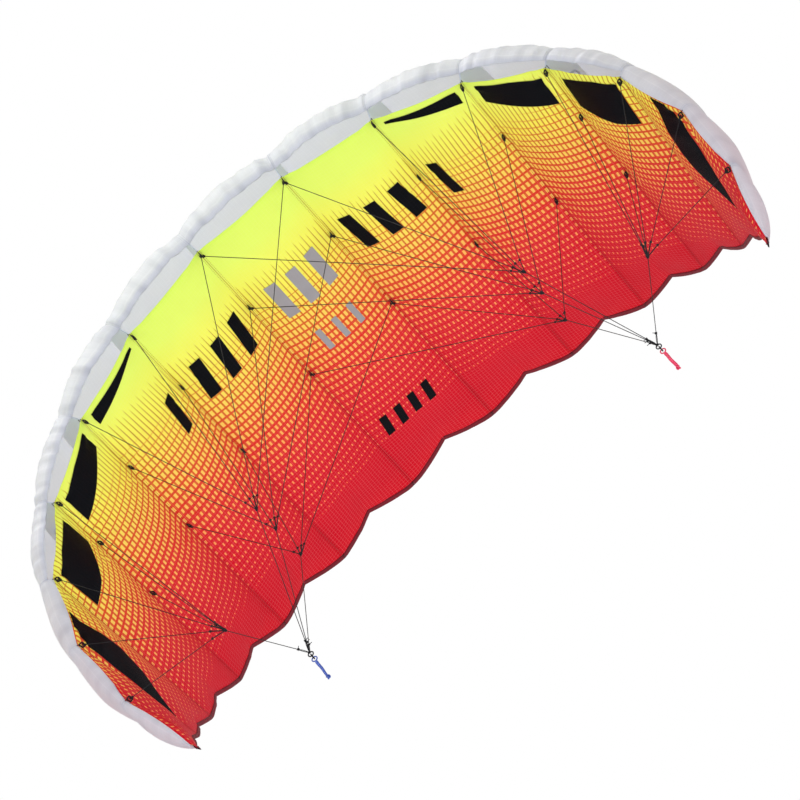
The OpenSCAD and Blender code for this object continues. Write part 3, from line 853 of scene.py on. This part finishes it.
def grey_cloth(t, bsdf):
    place = cloth_uv(t)
    weave = use_group(t, RIPSTOP, Place=place)
    color = t.mix(weave[2], lin(140, 138, 142), lin(166, 164, 168))
    return cloth_shader(t, bsdf, color, lin(150, 140, 140), 0.15, 0.45, weave[1],
                        wrinkle_relief(t, 38.0, 0.35, 0.004), 0.03, 0.12)


def binding_tape(t, bsdf):
    """Grosgrain: fine ribs across the tape with a row of stitches along its middle."""
    place = cloth_uv(t)
    u = t.node("ShaderNodeSeparateXYZ", place, out=0)
    v = t.node("ShaderNodeSeparateXYZ", place, out=1)
    cords = t.math("SINE", t.math("MULTIPLY", v, math.tau / 0.0009))
    row = t.math("LESS_THAN", t.math("ABSOLUTE", t.math("SUBTRACT", t.math("PINGPONG", u, 0.5), 0.24)), 0.03)
    dash = t.math("LESS_THAN", t.math("FRACT", t.math("DIVIDE", v, 0.0032)), 0.7)
    thread = t.math("MULTIPLY", row, dash)
    slow = t.node("ShaderNodeTexNoise", t.node("ShaderNodeTexCoord", out=3), None, 60.0, 3.0, 0.5)
    color = t.mix(slow, lin(84, 8, 22), lin(118, 14, 30))
    color = t.mix(t.math("MULTIPLY", thread, 0.7), color, lin(150, 34, 50))
    t.feed(bsdf.inputs["Base Color"], color)
    t.feed(bsdf.inputs["Normal"], t.bump(t.math("MULTIPLY_ADD", cords, 0.4, thread), 0.6, 0.0003))
    bsdf.inputs["Roughness"].default_value = 0.62
    bsdf.inputs["Specular IOR Level"].default_value = 0.12
    bsdf.inputs["Sheen Weight"].default_value = 0.04


def cord_look(dark, light, pitch, roughness=0.6):
    def build(t, bsdf):
        braid = use_group(t, BRAID, Place=cloth_uv(t), Pitch=pitch)
        slow = t.node("ShaderNodeTexNoise", t.node("ShaderNodeTexCoord", out=3), None, 90.0, 3.0, 0.5)
        color = t.mix(t.math("MULTIPLY_ADD", braid[1], 0.35, t.math("MULTIPLY", slow, 0.8), clamp=True), dark, light)
        t.feed(bsdf.inputs["Base Color"], color)
        t.feed(bsdf.inputs["Normal"], t.bump(braid[0], 0.7, 0.00015))
        bsdf.inputs["Roughness"].default_value = roughness
        bsdf.inputs["Specular IOR Level"].default_value = 0.2
        bsdf.inputs["Sheen Weight"].default_value = 0.04
    return build


def webbing_look(t, bsdf):
    """Woven webbing: rows of small ribs over slow noise, in the row frame."""
    place = t.node("ShaderNodeTexCoord", out=3)
    weave = t.node("ShaderNodeTexNoise", place, None, 1500.0, 2.0, 0.5)
    slow = t.node("ShaderNodeTexNoise", place, None, 120.0, 3.0, 0.5)
    t.feed(bsdf.inputs["Base Color"], t.mix(slow, lin(8, 8, 11), lin(22, 22, 27)))
    t.feed(bsdf.inputs["Normal"], t.bump(weave, 0.6, 0.0003))
    bsdf.inputs["Roughness"].default_value = 0.7
    bsdf.inputs["Specular IOR Level"].default_value = 0.2
    bsdf.inputs["Sheen Weight"].default_value = 0.05


PRINTED = material("printed_ripstop", printed_cloth)
WHITE = material("white_ripstop", white_cloth)
RIB = material("rib_ripstop", rib_cloth)
BLACK = material("black_ripstop", black_cloth)
GREY = material("grey_print", grey_cloth)
TAPE = material("maroon_tape", binding_tape)
LINE = material("bridle_line", cord_look(lin(8, 9, 12), lin(30, 31, 37), 520.0))
WEBBING = material("tab_webbing", webbing_look)
RED = material("red_sleeve", cord_look(lin(190, 24, 66), lin(232, 66, 104), 330.0, 0.5))
BLUE = material("blue_sleeve", cord_look(lin(28, 52, 140), lin(86, 112, 190), 330.0, 0.5))


# ---------------------------------------------------------------- bridle layout
CASCADES = [[(-1, 1, row, 180), (1, 1, row, 90), (1, 2, row, 270), (1, 3, row, 0)] for row in range(3)]
CASCADES.append([(1, 4, 0, 215), (1, 4, 1, 155), (1, 4, 2, 95), (1, 5, 0, 275), (1, 6, 0, 335), (1, 7, 0, 35)])


def unit(v):
    return v / np.linalg.norm(v)


def slot_centre(i, row, shift=0.0):
    f = FRAMES[i]
    return f["at"] + f["c"] * (tab_u(i, row) + shift) - f["u"] * (CLOTH + RIDGE + TAB_DROP / 2)


def leg_top(leg, side):
    """Where a leg ties on: its slot's centre, a little to one side where two legs share a tab."""
    shift = 0.0 if leg[1] > 1 else 1.5 * side
    p = slot_centre(leg[1], leg[2], shift)
    return p * np.array([leg[0], 1, 1])


def cascade_place(c):
    tops = np.mean([leg_top(leg, 0) for leg in CASCADES[c]], axis=0)
    return TOW + (tops - TOW) * CASCADE_SHARE


def leg_start(leg, c):
    """Each leg leaves the cascade knot from its own place round the leader's line."""
    k = cascade_place(c)
    a = unit(k - TOW)
    n = unit(np.cross(a, [1, 0, 0]))
    e = np.cross(n, a)
    turn = math.radians(leg[3])
    return k + (e * math.cos(turn) + n * math.sin(turn)) * LEG_SPACING


def leg_knot(leg, c, side):
    k = cascade_place(c)
    return k + unit(leg_top(leg, side) - k) * LOOP


RING_TOP = TOW + np.array([0, 0, 2 * RING_R])


def adjuster(c):
    return RING_TOP + unit(cascade_place(c) - RING_TOP) * LOOP


def knot(at, way, size):
    """An overhand knot drawn tight: a trefoil whose axis lies along the line, size across."""
    way = unit(np.asarray(way, float))
    e = unit(np.cross(way, [0.3, 0.9, 0.2]))
    n = np.cross(way, e)
    t = np.linspace(0, math.tau, 40, endpoint=False)
    x = np.sin(t) + 2 * np.sin(2 * t)
    y = np.cos(t) - 2 * np.cos(2 * t)
    z = -np.sin(3 * t)
    pts = (x[:, None] * e + y[:, None] * n) * size / 8.2 + z[:, None] * way * size / 4.4
    return sweep(np.asarray(at) + pts, size / 6.2, 7, closed=True)


def wraps(at, way, radius, thick, turns, pitch):
    """A few tight turns of line round an axis."""
    way = unit(np.asarray(way, float))
    e = unit(np.cross(way, [0.3, 0.9, 0.2]))
    n = np.cross(way, e)
    a = np.linspace(0, turns * math.tau, int(14 * turns) + 1)[:, None]
    pts = np.asarray(at) + (e * np.cos(a) + n * np.sin(a)) * radius + way * (a / math.tau - turns / 2) * pitch
    return sweep(pts, thick / 2, 6)


def straight(a, b, count, slack=0.0):
    """Points from a to b; slack is the sag at mid-length."""
    t = np.linspace(0, 1, count)[:, None]
    pts = a * (1 - t) + b * t
    pts[:, 2:] -= slack * 4 * t * (1 - t)
    return pts


LEG_NAMES = {1: "near", -1: "far"}


def make_bridle(side):
    """Legs with their leg knots and loops, cascade knots, leaders and adjusters of one side."""
    label = "right" if side > 0 else "left"
    knots = Parts()
    tow = Parts()
    cords = []
    for c, legs in enumerate(CASCADES):
        k = cascade_place(c)
        axis = unit(k - TOW)
        for n, leg in enumerate(legs):
            top, tied = leg_top(leg, side), leg_knot(leg, c, side)
            begin = leg_start(leg, c)
            way = unit(tied - top)
            path = np.concatenate([straight(top + way * 1.2, tied, 24), straight(tied, begin, 5)[1:]])
            name = "leg_%s_%s_rib_%d_row_%d" % (label, LEG_NAMES[leg[0]], leg[1], leg[2] + 1)
            if n == 1:
                path = np.concatenate([path, straight(begin, k - axis * 2.0, 3)[1:],
                                       straight(k - axis * 2.0, adjuster(c), 20)[1:]])
                name = "leader_%s_%d_with_leg" % (label, c + 1)
            rings = sweep(path, LEG_D / 2, 8)
            world, rings = to_row(path, side), to_row(rings, side)
            length = path_length(world)
            obj = piece(name, rings, grid_faces(rings.shape[0], 8, wrap=True, flip=side < 0), LINE, "canopy",
                        "bridle_line", tube_uv(rings, length))
            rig.cord(obj, exit=world[0], length=length, diameter=LEG_D * MM, far_end="object", stiffness="limp",
                    lay="taut", path=world)
            cords.append(obj)
            spread = unit(np.cross(tied - begin, axis + np.array([0.01, 0.02, 0]))) * 0.75
            half = (tied + begin) / 2
            strand = np.array([begin + spread * 0.3, half * 0.4 + begin * 0.6 + spread, half + spread * 1.15,
                               half * 0.4 + tied * 0.6 + spread, tied + spread * 0.3])
            knots.grid(to_row(sweep(strand, 0.45, 6), side), True, flip=side < 0)
            knots.grid(to_row(knot(tied, top - tied, 3.6), side), True, flip=side < 0)
            tail = unit(np.cross(way, spread) + way * 0.4)
            knots.grid(to_row(sweep(straight(tied, tied + tail * 4.0, 4), 0.42, 6), side), True, flip=side < 0)
        knots.grid(to_row(knot(k, axis, 5.4), side), True, flip=side < 0)
        knots.grid(to_row(wraps(k - axis * 2.6, axis, 1.15, 1.0, 2.5, 1.05), side), True, flip=side < 0)
        a = adjuster(c)
        out = unit(a - RING_TOP)
        off = unit(np.cross(out, [0, 1, 0.1])) * 0.62
        for s in (1, -1):
            loop = np.array([a, a * 0.7 + RING_TOP * 0.3 + s * off, a * 0.3 + RING_TOP * 0.7 + s * off,
                             RING_TOP + np.array([0, s * 0.6, -RING_D * 0.5])])
            tow.grid(to_row(sweep(loop, 0.5, 6), side), True, flip=side < 0)
        tow.grid(to_row(knot(a, out, 3.8), side), True, flip=side < 0)
        tow.grid(to_row(sweep(straight(a, a + unit(off + out * 0.3) * 5.0, 4), 0.45, 6), side), True, flip=side < 0)
    ring_at = TOW + np.array([0, 0, RING_R])
    t = np.linspace(0, math.tau, 44, endpoint=False)
    ring = ring_at + np.stack([np.cos(t), 0 * t, np.sin(t)], 1) * RING_R
    tow.grid(to_row(sweep(ring, RING_D / 2, 10, closed=True), side), True, flip=side < 0)
    tow.grid(to_row(wraps(RING_TOP + np.array([0, 0, 0.4]), [1, 0, 0.1], RING_D / 2 + 0.55, 1.0, 3.5, 1.0), side),
             True, flip=side < 0)
    knot_piece = knots.make("cascade_knots_and_loops_" + label, LINE, "canopy", "bridle_line")
    tow_piece = tow.make("tow_loops_and_adjusters_" + label, LINE, "canopy", "bridle_line")
    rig.replaces(knot_piece, "cascade_knots_" + label)
    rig.replaces(tow_piece, "tow_loops_" + label)
    for obj in cords:
        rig.replaces(obj, "bridle_legs_" + label)
        if obj.name.startswith("leader"):
            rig.replaces(obj, "leader_lines_" + label)


def make_pigtail(side):
    """A woven sleeve on a doubled cord, hanging from its ring and tied off in a stopper knot."""
    label, look = ("right", RED) if side > 0 else ("left", BLUE)
    hook = 2 * RING_R - RING_D - 0.1
    centre = TOW + np.array([0, 0, RING_R - 2 * hook])
    t = np.linspace(0, math.tau, 44, endpoint=False)
    ring = centre + np.stack([np.cos(t), 0 * t, np.sin(t)], 1) * RING_R
    loop = Parts()
    rings = to_row(sweep(ring, RING_D / 2, 10, closed=True), side)
    loop.grid(rings, True, tube_uv(rings, 0.022), flip=side < 0)
    top = TOW[2] - 2 * hook + RING_D / 2 - 0.6
    bottom = top + 0.6 - SLEEVE_L
    z = np.concatenate([np.linspace(top, top - 3, 5), np.linspace(top - 5, bottom, 22)])
    run = (top - z) / (top - bottom)
    path = np.stack([TOW[0] + 0.25 * np.sin(run * 9), TOW[1] + 0.3 * np.sin(run * 7 + 1), z], 1)
    width = SLEEVE_D / 2 * (1.0 if side > 0 else 0.92)
    radius = width * np.interp(run, [0, 0.03, 0.09, 0.2, 0.9, 1], [0.5, 0.8, 1, 0.94, 0.98 if side > 0 else 0.8, 0.8])
    rings = to_row(sweep(path, radius, 20), side)
    world = to_row(path, side)
    sleeve = piece("pigtail_sleeve_" + label, rings, grid_faces(rings.shape[0], 20, wrap=True, flip=side < 0), look,
                   label + "_pigtail", "red_sleeve" if side > 0 else "blue_sleeve", tube_uv(rings, path_length(world)))
    knot_at = np.array([TOW[0], TOW[1], bottom - STOPPER_D * (0.5 - STOPPER_SINK)])
    stop = Parts()
    rings = to_row(knot(knot_at, [0, 0, 1], STOPPER_D * 0.93), side)
    stop.grid(rings, True, tube_uv(rings, 0.05), flip=side < 0)
    stopper = stop.make("pigtail_stopper_knot_" + label, look, label + "_pigtail",
                        "red_sleeve" if side > 0 else "blue_sleeve")
    eye = loop.make("pigtail_eye_" + label, look, label + "_pigtail", "red_sleeve" if side > 0 else "blue_sleeve")
    for obj in (sleeve, stopper, eye):
        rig.replaces(obj, "pigtail_" + label)
    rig.cord(sleeve, exit=world[0], length=path_length(world), diameter=SLEEVE_D * MM, far_end="knot",
            stiffness="limp", lay="hanging", path=world, with_pieces=[stopper, eye])


for side in (1, -1):
    make_bridle(side)
    make_pigtail(side)


# ---------------------------------------------------------------- canopy
TIP_BODY = {1: "right_wing_tip", -1: "left_wing_tip"}


def tip_blend(obj, side):
    """Cloth of the tip cell stays sewn to rib 7 and turns with the tip beyond a short bend."""
    f = FRAMES[RIBS]
    start = f["at"] + f["c"] * 60
    ends = to_row(np.array([start, start + FRAMES[RIBS]["a"] * 24]), side)
    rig.blend(obj, "canopy", TIP_BODY[side], start=ends[0], end=ends[1])


def carried(obj, k, side):
    """Rides on the canopy, or bends with the wing tip where the cell is the tip's."""
    if k == RIBS:
        tip_blend(obj, side)
    else:
        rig.ride(obj, "canopy")


def across_shares(k):
    """Shares across a cell, close together beside the two seams."""
    edge = np.array([0, 0.7, 1.5, 2.6, 4.2, 6.8]) / WIDTH[k]
    inner = np.linspace(edge[-1], 1 - edge[-1], max(8, int(WIDTH[k] / 5)))
    return np.concatenate([edge[:-1], inner, 1 - edge[-2::-1]])


def cell_label(k, side):
    return "centre" if k == 0 else "tip_%s" % ("right" if side > 0 else "left") if k == RIBS else \
        "%s_%d" % ("right" if side > 0 else "left", k)


def node_label(kind, k, side):
    tail = "right" if side > 0 else "left"
    return kind + ("_panel_centre" if k == 0 else "_tip_" + tail if k == RIBS else "_panel_%s_%d" % (tail, k))


def cell_span(k, p):
    return (STATION[k] if k else -STATION[1]) + p * WIDTH[k]


def make_skin(k, side, top):
    """One cloth panel: a fine grid between two ribs, with its lip hemmed under where the mouth is open."""
    p = across_shares(k)
    chord = max(FRAMES[k]["chord"], FRAMES[k + 1]["chord"])
    count = max(14, int(chord / 5.2))
    if top:
        x = np.linspace(0, 1, count) ** 1.5
        x = np.concatenate([np.linspace(-1, 0, 10)[:-1] if k > LAST_OPEN else np.linspace(-VALANCE, 0, 7)[:-1], x])
    else:
        x = np.linspace(0, 1, count)
        x = np.concatenate([[0, 0.0015], x[1:]])
    P, X = np.meshgrid(p, x)
    make = upper if top else lower
    pts = make(k, side, P, X)
    T = np.maximum(X, 0) * edge_chord(k, P)
    if top:
        T = T * 1.03 + np.where(X < 0, X * MOUTH * 1.1, 0)
    if k <= LAST_OPEN:
        hem = [make(k, side, p, np.full_like(p, at / MOUTH - VALANCE if top else at / chord), lift)
               for at, lift in ((6.0, -0.6), (1.0, -0.5), (0.2, -0.1))]
        pts = np.concatenate([hem, pts])
        T = np.concatenate([[p * 0 + 6.0, p * 0 + 1.0, p * 0 + 0.2], T])
        P = np.concatenate([[p, p, p], P])
    S = cell_span(k, P) * side
    near = seam_distance(k, P)
    rows, cols = P.shape
    obj = piece("%s_skin_%s" % ("upper" if top else "lower", cell_label(k, side)), pts,
                grid_faces(rows, cols, flip=(side > 0) != top), WHITE if top else PRINTED, None,
                "upper_cloth" if top else "lower_cloth", np.stack([S, T], -1) * MM,
                {"seam": near * MM, "depth": print_depth(S, T)})
    carried(obj, k, side)
    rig.replaces(obj, node_label("upper" if top else "lower", k, side))
    flat_w = WIDTH[k] * MM
    lengths = np.linalg.norm(np.diff(pts, axis=0), axis=2).sum(0)
    flat_l = float(lengths.max())
    area = float(np.mean(lengths)) * flat_w
    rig.sheet(obj, flat=(flat_w, flat_l), held="stretched", area=min(area, flat_w * flat_l))
    return obj


def rib_outline(i, n=46):
    """Points round rib i's section in its own plane, a little inside the skins."""
    f = FRAMES[i]
    x = np.linspace(0, 1, n) ** 1.6 * 0.985
    top = top_uv(f["chord"], x) + top_normal(f["chord"], x) * 0.4
    if i > LAST_OPEN:
        turn = np.linspace(0.1, math.pi / 2, 8)[:-1]
        top = np.concatenate([nose_uv(f["chord"], turn) + nose_normal(turn) * 0.4, top])
    low = np.stack([np.linspace(0.985, 0.0, n), np.zeros(n)], 1) * [f["chord"], 1] + [0, -0.4]
    return np.concatenate([top, low])


def in_plane(i, uv, off=0.0):
    f = FRAMES[i]
    uv = np.asarray(uv)
    return f["at"] + f["c"] * uv[..., :1] + f["u"] * uv[..., 1:] + f["a"] * off


def make_rib(i, side):
    """A rib of cloth with round air ports, each bound with a ring of tape, and a hem on an open mouth's edge."""
    f = FRAMES[i]
    outline = rib_outline(i)
    verts, edges = [tuple(v) for v in outline], []
    n = len(outline)
    edges += [(a, (a + 1) % n) for a in range(n)]
    ports = []
    for x in PORTS:
        at = top_uv(f["chord"], np.array(x))
        radius = at[1] * PORT_SHARE
        if radius > 5:
            ports.append((np.array([at[0], at[1] / 2]), radius))
    t = np.linspace(0, math.tau, 48, endpoint=False)
    ring = np.stack([np.cos(t), np.sin(t)], 1)
    for at, radius in ports:
        start = len(verts)
        verts += [tuple(v) for v in at + ring * radius]
        edges += [(start + a, start + (a + 1) % 48) for a in range(48)]
    inner = np.stack(np.meshgrid(np.arange(6, f["chord"], 12), np.arange(6, THICK * f["chord"], 12)), -1).reshape(-1, 2)
    verts += [tuple(v) for v in inner]
    pts, _, faces, *_ = delaunay_2d_cdt([Vector(v) for v in verts], edges, [], 1, 1e-4)
    pts, faces = np.array([tuple(v) for v in pts]), np.array([list(face) for face in faces if len(face) == 3])
    middle = pts[faces].mean(1)
    keep = np.ones(len(faces), bool)
    for at, radius in ports:
        keep &= np.linalg.norm(middle - at, axis=1) > radius * 0.97
    faces = faces[keep]
    wave = 0.5 * waves(pts[:, 0], pts[:, 1], 61 + i, 55)
    skin = np.interp(pts[:, 0], *top_uv(f["chord"], np.linspace(0, 1, 60)).T)
    inside = np.minimum(pts[:, 1], np.maximum(0, skin - pts[:, 1]))
    wave = wave * np.clip(inside / 8, 0, 1)
    world = to_row(in_plane(i, pts) + f["a"] * wave[:, None], side)
    label = "%s_%d" % ("right" if side > 0 else "left", i)
    obj = piece("rib_cloth_" + label, world, faces[:, ::-1] if side < 0 else faces, RIB, "canopy", "rib_cloth",
                pts * MM)
    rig.replaces(obj, "rib_" + label)
    trim = Parts()
    for at, radius in ports:
        bands = np.array([at + ring * (radius + d) for d in (3.2, 3.0, -0.2, -0.2, 3.0, 3.2)])
        offs = np.array([0.1, 0.55, 0.55, -0.55, -0.55, -0.1])
        band = np.array([in_plane(i, b) + f["a"] * o for b, o in zip(bands, offs)])
        uv = np.stack(np.meshgrid(np.arange(48) * radius * MM * math.tau / 48, np.arange(6) * 0.001), -1)
        trim.grid(to_row(band, side), True, uv, side < 0)
    if i <= LAST_OPEN + 1:
        lip = top_uv(f["chord"], np.array(0.0)) + top_normal(f["chord"], np.array(0.0)) * 0.2
        edge = np.linspace(0, 1, 8)[:, None] * lip
        rings = to_row(sweep(in_plane(i, edge), 0.8, 8), side)
        trim.grid(rings, True, tube_uv(rings, 0.024), side < 0)
    if trim.count:
        trim.make("rib_bindings_" + label, RIB, "canopy", "rib_cloth")


for k in range(RIBS + 1):
    for side in ((1,) if k == 0 else (1, -1)):
        for top in (False, True):
            make_skin(k, side, top)
for i in range(1, RIBS + 1):
    for side in (1, -1):
        make_rib(i, side)


def binding_rings(k, side, p):
    """The tape folded over the trailing edge: a flattened ring of points at each share across the cell."""
    low = lower(k, side, p, np.ones_like(p), 0.5)
    high = upper(k, side, p, np.ones_like(p), 0.5)
    fwd_low = lower(k, side, p, np.full_like(p, 0.985), 0.5)
    fwd_high = upper(k, side, p, np.full_like(p, 0.985), 0.5)
    fa, fb = FRAMES[k], FRAMES[k + 1]
    pp = np.asarray(p)[:, None]
    back = fa["c"] * (1 - pp) + fb["c"] * pp
    up = fa["u"] * (1 - pp) + fb["u"] * pp
    if side < 0:
        back, up = back * [-1, 1, 1], up * [-1, 1, 1]
    rows = []
    for ahead, lift in ((0, 0.5), (2.4, 0.35), (4.6, 0.05), (5.8, -0.45)):
        rows.append(high + (back * ahead + up * lift) * MM)
    for ahead, lift in ((5.8, 0.45), (4.6, -0.05), (2.4, -0.35), (0, -0.5)):
        rows.append(low + (back * ahead + up * lift) * MM)
    reach = 2.5 * MM
    front_low = low + (fwd_low - low) / np.linalg.norm(fwd_low - low, axis=1, keepdims=True) * reach
    front_high = high + (fwd_high - high) / np.linalg.norm(fwd_high - high, axis=1, keepdims=True) * reach
    rows.append(front_low - up * 0.5 * MM)
    rows.append(front_low)
    rows.append(front_high)
    rows.append(front_high + up * 0.5 * MM)
    return np.stack(rows, 1)


def make_bindings():
    """One tape round the whole trailing edge from rib 7 to rib 7, and one on each tip."""
    p = np.linspace(0, 1, 41)
    run = []
    for k in range(RIBS - 1, 0, -1):
        run.append(binding_rings(k, -1, p)[::-1])
    run.append(binding_rings(0, 1, p))
    for k in range(1, RIBS):
        run.append(binding_rings(k, 1, p))
    rings = np.concatenate(run)
    for name, strip, side, node in (("trailing_edge_tape", rings, 0, "trailing_binding"),
                                    ("tip_tape_right", binding_rings(RIBS, 1, p), 1, "tip_binding_right"),
                                    ("tip_tape_left", binding_rings(RIBS, -1, p)[::-1], -1, "tip_binding_left")):
        place = np.concatenate([[0], np.cumsum(np.linalg.norm(np.diff(strip[:, 3], axis=0), axis=1))])
        u, v = np.meshgrid(np.arange(12) / 12, place)
        parts = Parts()
        parts.grid(strip, True, np.stack([u, v], -1), flip=True)
        obj = parts.make(name, TAPE, None, "binding_tape")
        if side:
            tip_blend(obj, side)
        else:
            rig.ride(obj, "canopy")
        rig.replaces(obj, node)


make_bindings()


# ---------------------------------------------------------------- black panels and plain graphics
def patch(name, k, side, rows, mat, down=False, lift=1.25):
    """A cloth patch on cell k's lower skin, straight between rows. A row is a share across the cell with the
    patch's first and last distance from the lip; with down, a distance with its first and last share across."""
    rows = np.array(rows, float)
    v, u = np.linspace(0, len(rows) - 1, (len(rows) - 1) * 10 + 1), np.linspace(0, 1, 17)
    main, low, high = (np.interp(v, np.arange(len(rows)), column)[:, None] for column in rows.T)
    other = low * (1 - u) + high * u
    main = main + 0 * u
    P, T = (other, main) if down else (main, other)
    S = cell_span(k, P) * side
    obj = piece(name, lower(k, side, P, T / edge_chord(k, P), lift), grid_faces(*P.shape, flip=(side > 0) == down),
                mat, None, "lower_cloth", np.stack([S, T], -1) * MM)
    carried(obj, k, side)


# A wedge, two squarish panels and a stripe that crosses the rib between cells 5 and 6, on each side.
PANELS = ((2, False, [(0.10, 9.5, 13), (0.90, 9, 31)]),
          (3, False, [(0.126, 7.6, 39.5), (0.53, 9, 54), (0.895, 15.6, 66)]),
          (4, False, [(0.15, 14, 70), (0.38, 12.5, 78), (0.60, 10.5, 88), (0.89, 15, 91)]),
          (5, True, [(2, 0.50, 0.74), (20, 0.57, 0.89), (58, 0.56, 0.92), (100, 0.55, 0.93), (144, 0.66, 0.95),
                     (166, 0.78, 0.99), (205, 0.96, 0.99)]),
          (6, True, [(108, 0.01, 0.03), (130, 0.01, 0.22), (174, 0.01, 0.03)]))
for side in (1, -1):
    for k, down, rows in PANELS:
        patch("black_panel_%s_%d" % ("right" if side > 0 else "left", k), k, side, rows, BLACK, down)


def bars(name, k, side, places, mat, lean=0.05):
    """A row of slanted bars on the lower skin of cell k: each place is (share across, width, first, last)."""
    for n, (p, wide, t0, t1) in enumerate(places):
        patch("%s_%d" % (name, n + 1), k, side, [(t0, p, p + wide), (t1, p + lean, p + wide + lean)], mat, True)


for side, label in ((1, "right"), (-1, "left")):
    bars("dark_bar_%s_1" % label, 1, side, [(0.14, 0.13, 105, 172), (0.42, 0.13, 105, 172), (0.70, 0.13, 105, 172)],
         BLACK)
    bars("dark_bar_%s_2" % label, 2, side, [(0.16, 0.12, 102, 166)], BLACK)
bars("grey_bar_centre", 0, 1, [(0.20, 0.12, 112, 180), (0.44, 0.12, 112, 180), (0.68, 0.12, 112, 180)], GREY, 0.0)
bars("small_grey_bar", 0, 1, [(0.28, 0.06, 224, 266), (0.47, 0.06, 224, 266), (0.66, 0.06, 224, 266)], GREY, 0.0)
bars("small_dark_bar", 0, 1, [(0.17, 0.08, 424, 462), (0.34, 0.08, 424, 462), (0.51, 0.08, 424, 462),
                              (0.68, 0.08, 424, 462)], BLACK, -0.03)


# ---------------------------------------------------------------- tabs
def rounded(length, height, radius, n=5):
    """Outline of a rounded rectangle, starting at the right and going up."""
    pts = []
    for cx, cy, a0 in ((1, 1, 0), (-1, 1, 90), (-1, -1, 180), (1, -1, 270)):
        for a in np.radians(np.linspace(a0, a0 + 90, n)):
            pts.append((cx * (length / 2 - radius) + radius * math.cos(a),
                        cy * (height / 2 - radius) + radius * math.sin(a)))
    return np.array(pts)


def make_tabs():
    """Webbing loops in the rib seams, with their sewn roots."""
    parts = Parts()
    outer, inner = rounded(TAB_L, TAB_DROP, 2.2), rounded(6, 3, 1.2)
    for side in (1, -1):
        for i in range(1, RIBS + 1):
            for row in TAB_ROWS[i]:
                centre = (tab_u(i, row), -(CLOTH + RIDGE + TAB_DROP / 2))
                web = TAB_WEB / 2
                rows = []
                for shape, grow, off in ((inner, 0, web * 0.6), (inner, 0.25, web), (outer, -0.3, web),
                                         (outer, 0, web * 0.5), (outer, 0, -web * 0.5), (outer, -0.3, -web),
                                         (inner, 0.25, -web), (inner, 0, -web * 0.6), (inner, 0, web * 0.6)):
                    flat = shape * (1 + grow / 4)
                    rows.append(in_plane(i, flat + centre, off))
                parts.grid(to_row(np.array(rows), side), True, flip=side < 0)
                root = np.array([in_plane(i, (rounded(TAB_L - 1, 5.5, 0.8) + [centre[0], 0.6]), off)
                                 for off in (web * 1.5, web * 1.7, -web * 1.7, -web * 1.5)])
                parts.grid(to_row(root, side), True, flip=side < 0)
    obj = parts.make("bridle_tabs_webbing", WEBBING, "canopy", "tab_webbing")
    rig.replaces(obj, "bridle_tabs")


def make_hitches():
    """A cow hitch on each tab: a bight of line through the slot with both ends under it."""
    for side in (1, -1):
        label = "right" if side > 0 else "left"
        parts = Parts()
        for c, legs in enumerate(CASCADES):
            for leg in legs:
                top = leg_top(leg, side)
                down = unit(leg_knot(leg, c, side) - top)
                mirror = np.array([leg[0], 1, 1])
                thick = FRAMES[leg[1]]["a"] * mirror
                chordwise = FRAMES[leg[1]]["c"] * mirror
                n = unit(np.cross(down, thick))
                w = np.cross(n, down)
                for s in (0.55, -0.55):
                    a = np.linspace(-0.5 * math.pi, 1.5 * math.pi, 22)[:, None]
                    ring = top + down * (2.1 + 2.3 * np.sin(a) * 1.0) + w * 1.35 * np.cos(a) + chordwise * s * 1.3
                    parts.grid(to_row(sweep(ring, LEG_D * 0.5, 6), side), True, flip=side < 0)
                parts.grid(to_row(wraps(top + down * 4.2, chordwise, 0.95, 0.95, 1.6, 0.9), side), True, flip=side < 0)
        parts.make("bridle_hitches_" + label, LINE, "canopy", "bridle_line")


make_tabs()
make_hitches()
for label in ("right", "left"):
    ring = frame["nodes"]["hitch_ring_" + label]
    for index in range(len(ring.material_slots)):
        ring.material_slots[index].link = "OBJECT"
        ring.material_slots[index].material = WEBBING

# ---------------------------------------------------------------- stage
floor_mesh = bpy.data.meshes.new("floor")
floor_mesh.from_pydata([(-30, -30, -5.3), (30, -30, -5.3), (30, 30, -5.3), (-30, 30, -5.3)], [], [(0, 1, 2, 3)])
floor = bpy.data.objects.new("floor", floor_mesh)
bpy.context.collection.objects.link(floor)


def floor_look(t, bsdf):
    place = t.node("ShaderNodeTexCoord", out=3)
    noise = t.node("ShaderNodeTexNoise", place, None, 3.0, 4.0, 0.5)
    t.feed(bsdf.inputs["Base Color"], t.mix(noise, lin(232, 232, 232), lin(240, 240, 240)))
    bsdf.inputs["Roughness"].default_value = 0.8


floor_mesh.materials.append(material("pale_floor", floor_look))
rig.stage(floor)

with open("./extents.json", "w") as out:
    json.dump({"cad": [[float(v) for v in p] for p in CAD_BOX], "visual": [[float(v) for v in p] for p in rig.bounds()]}, out)
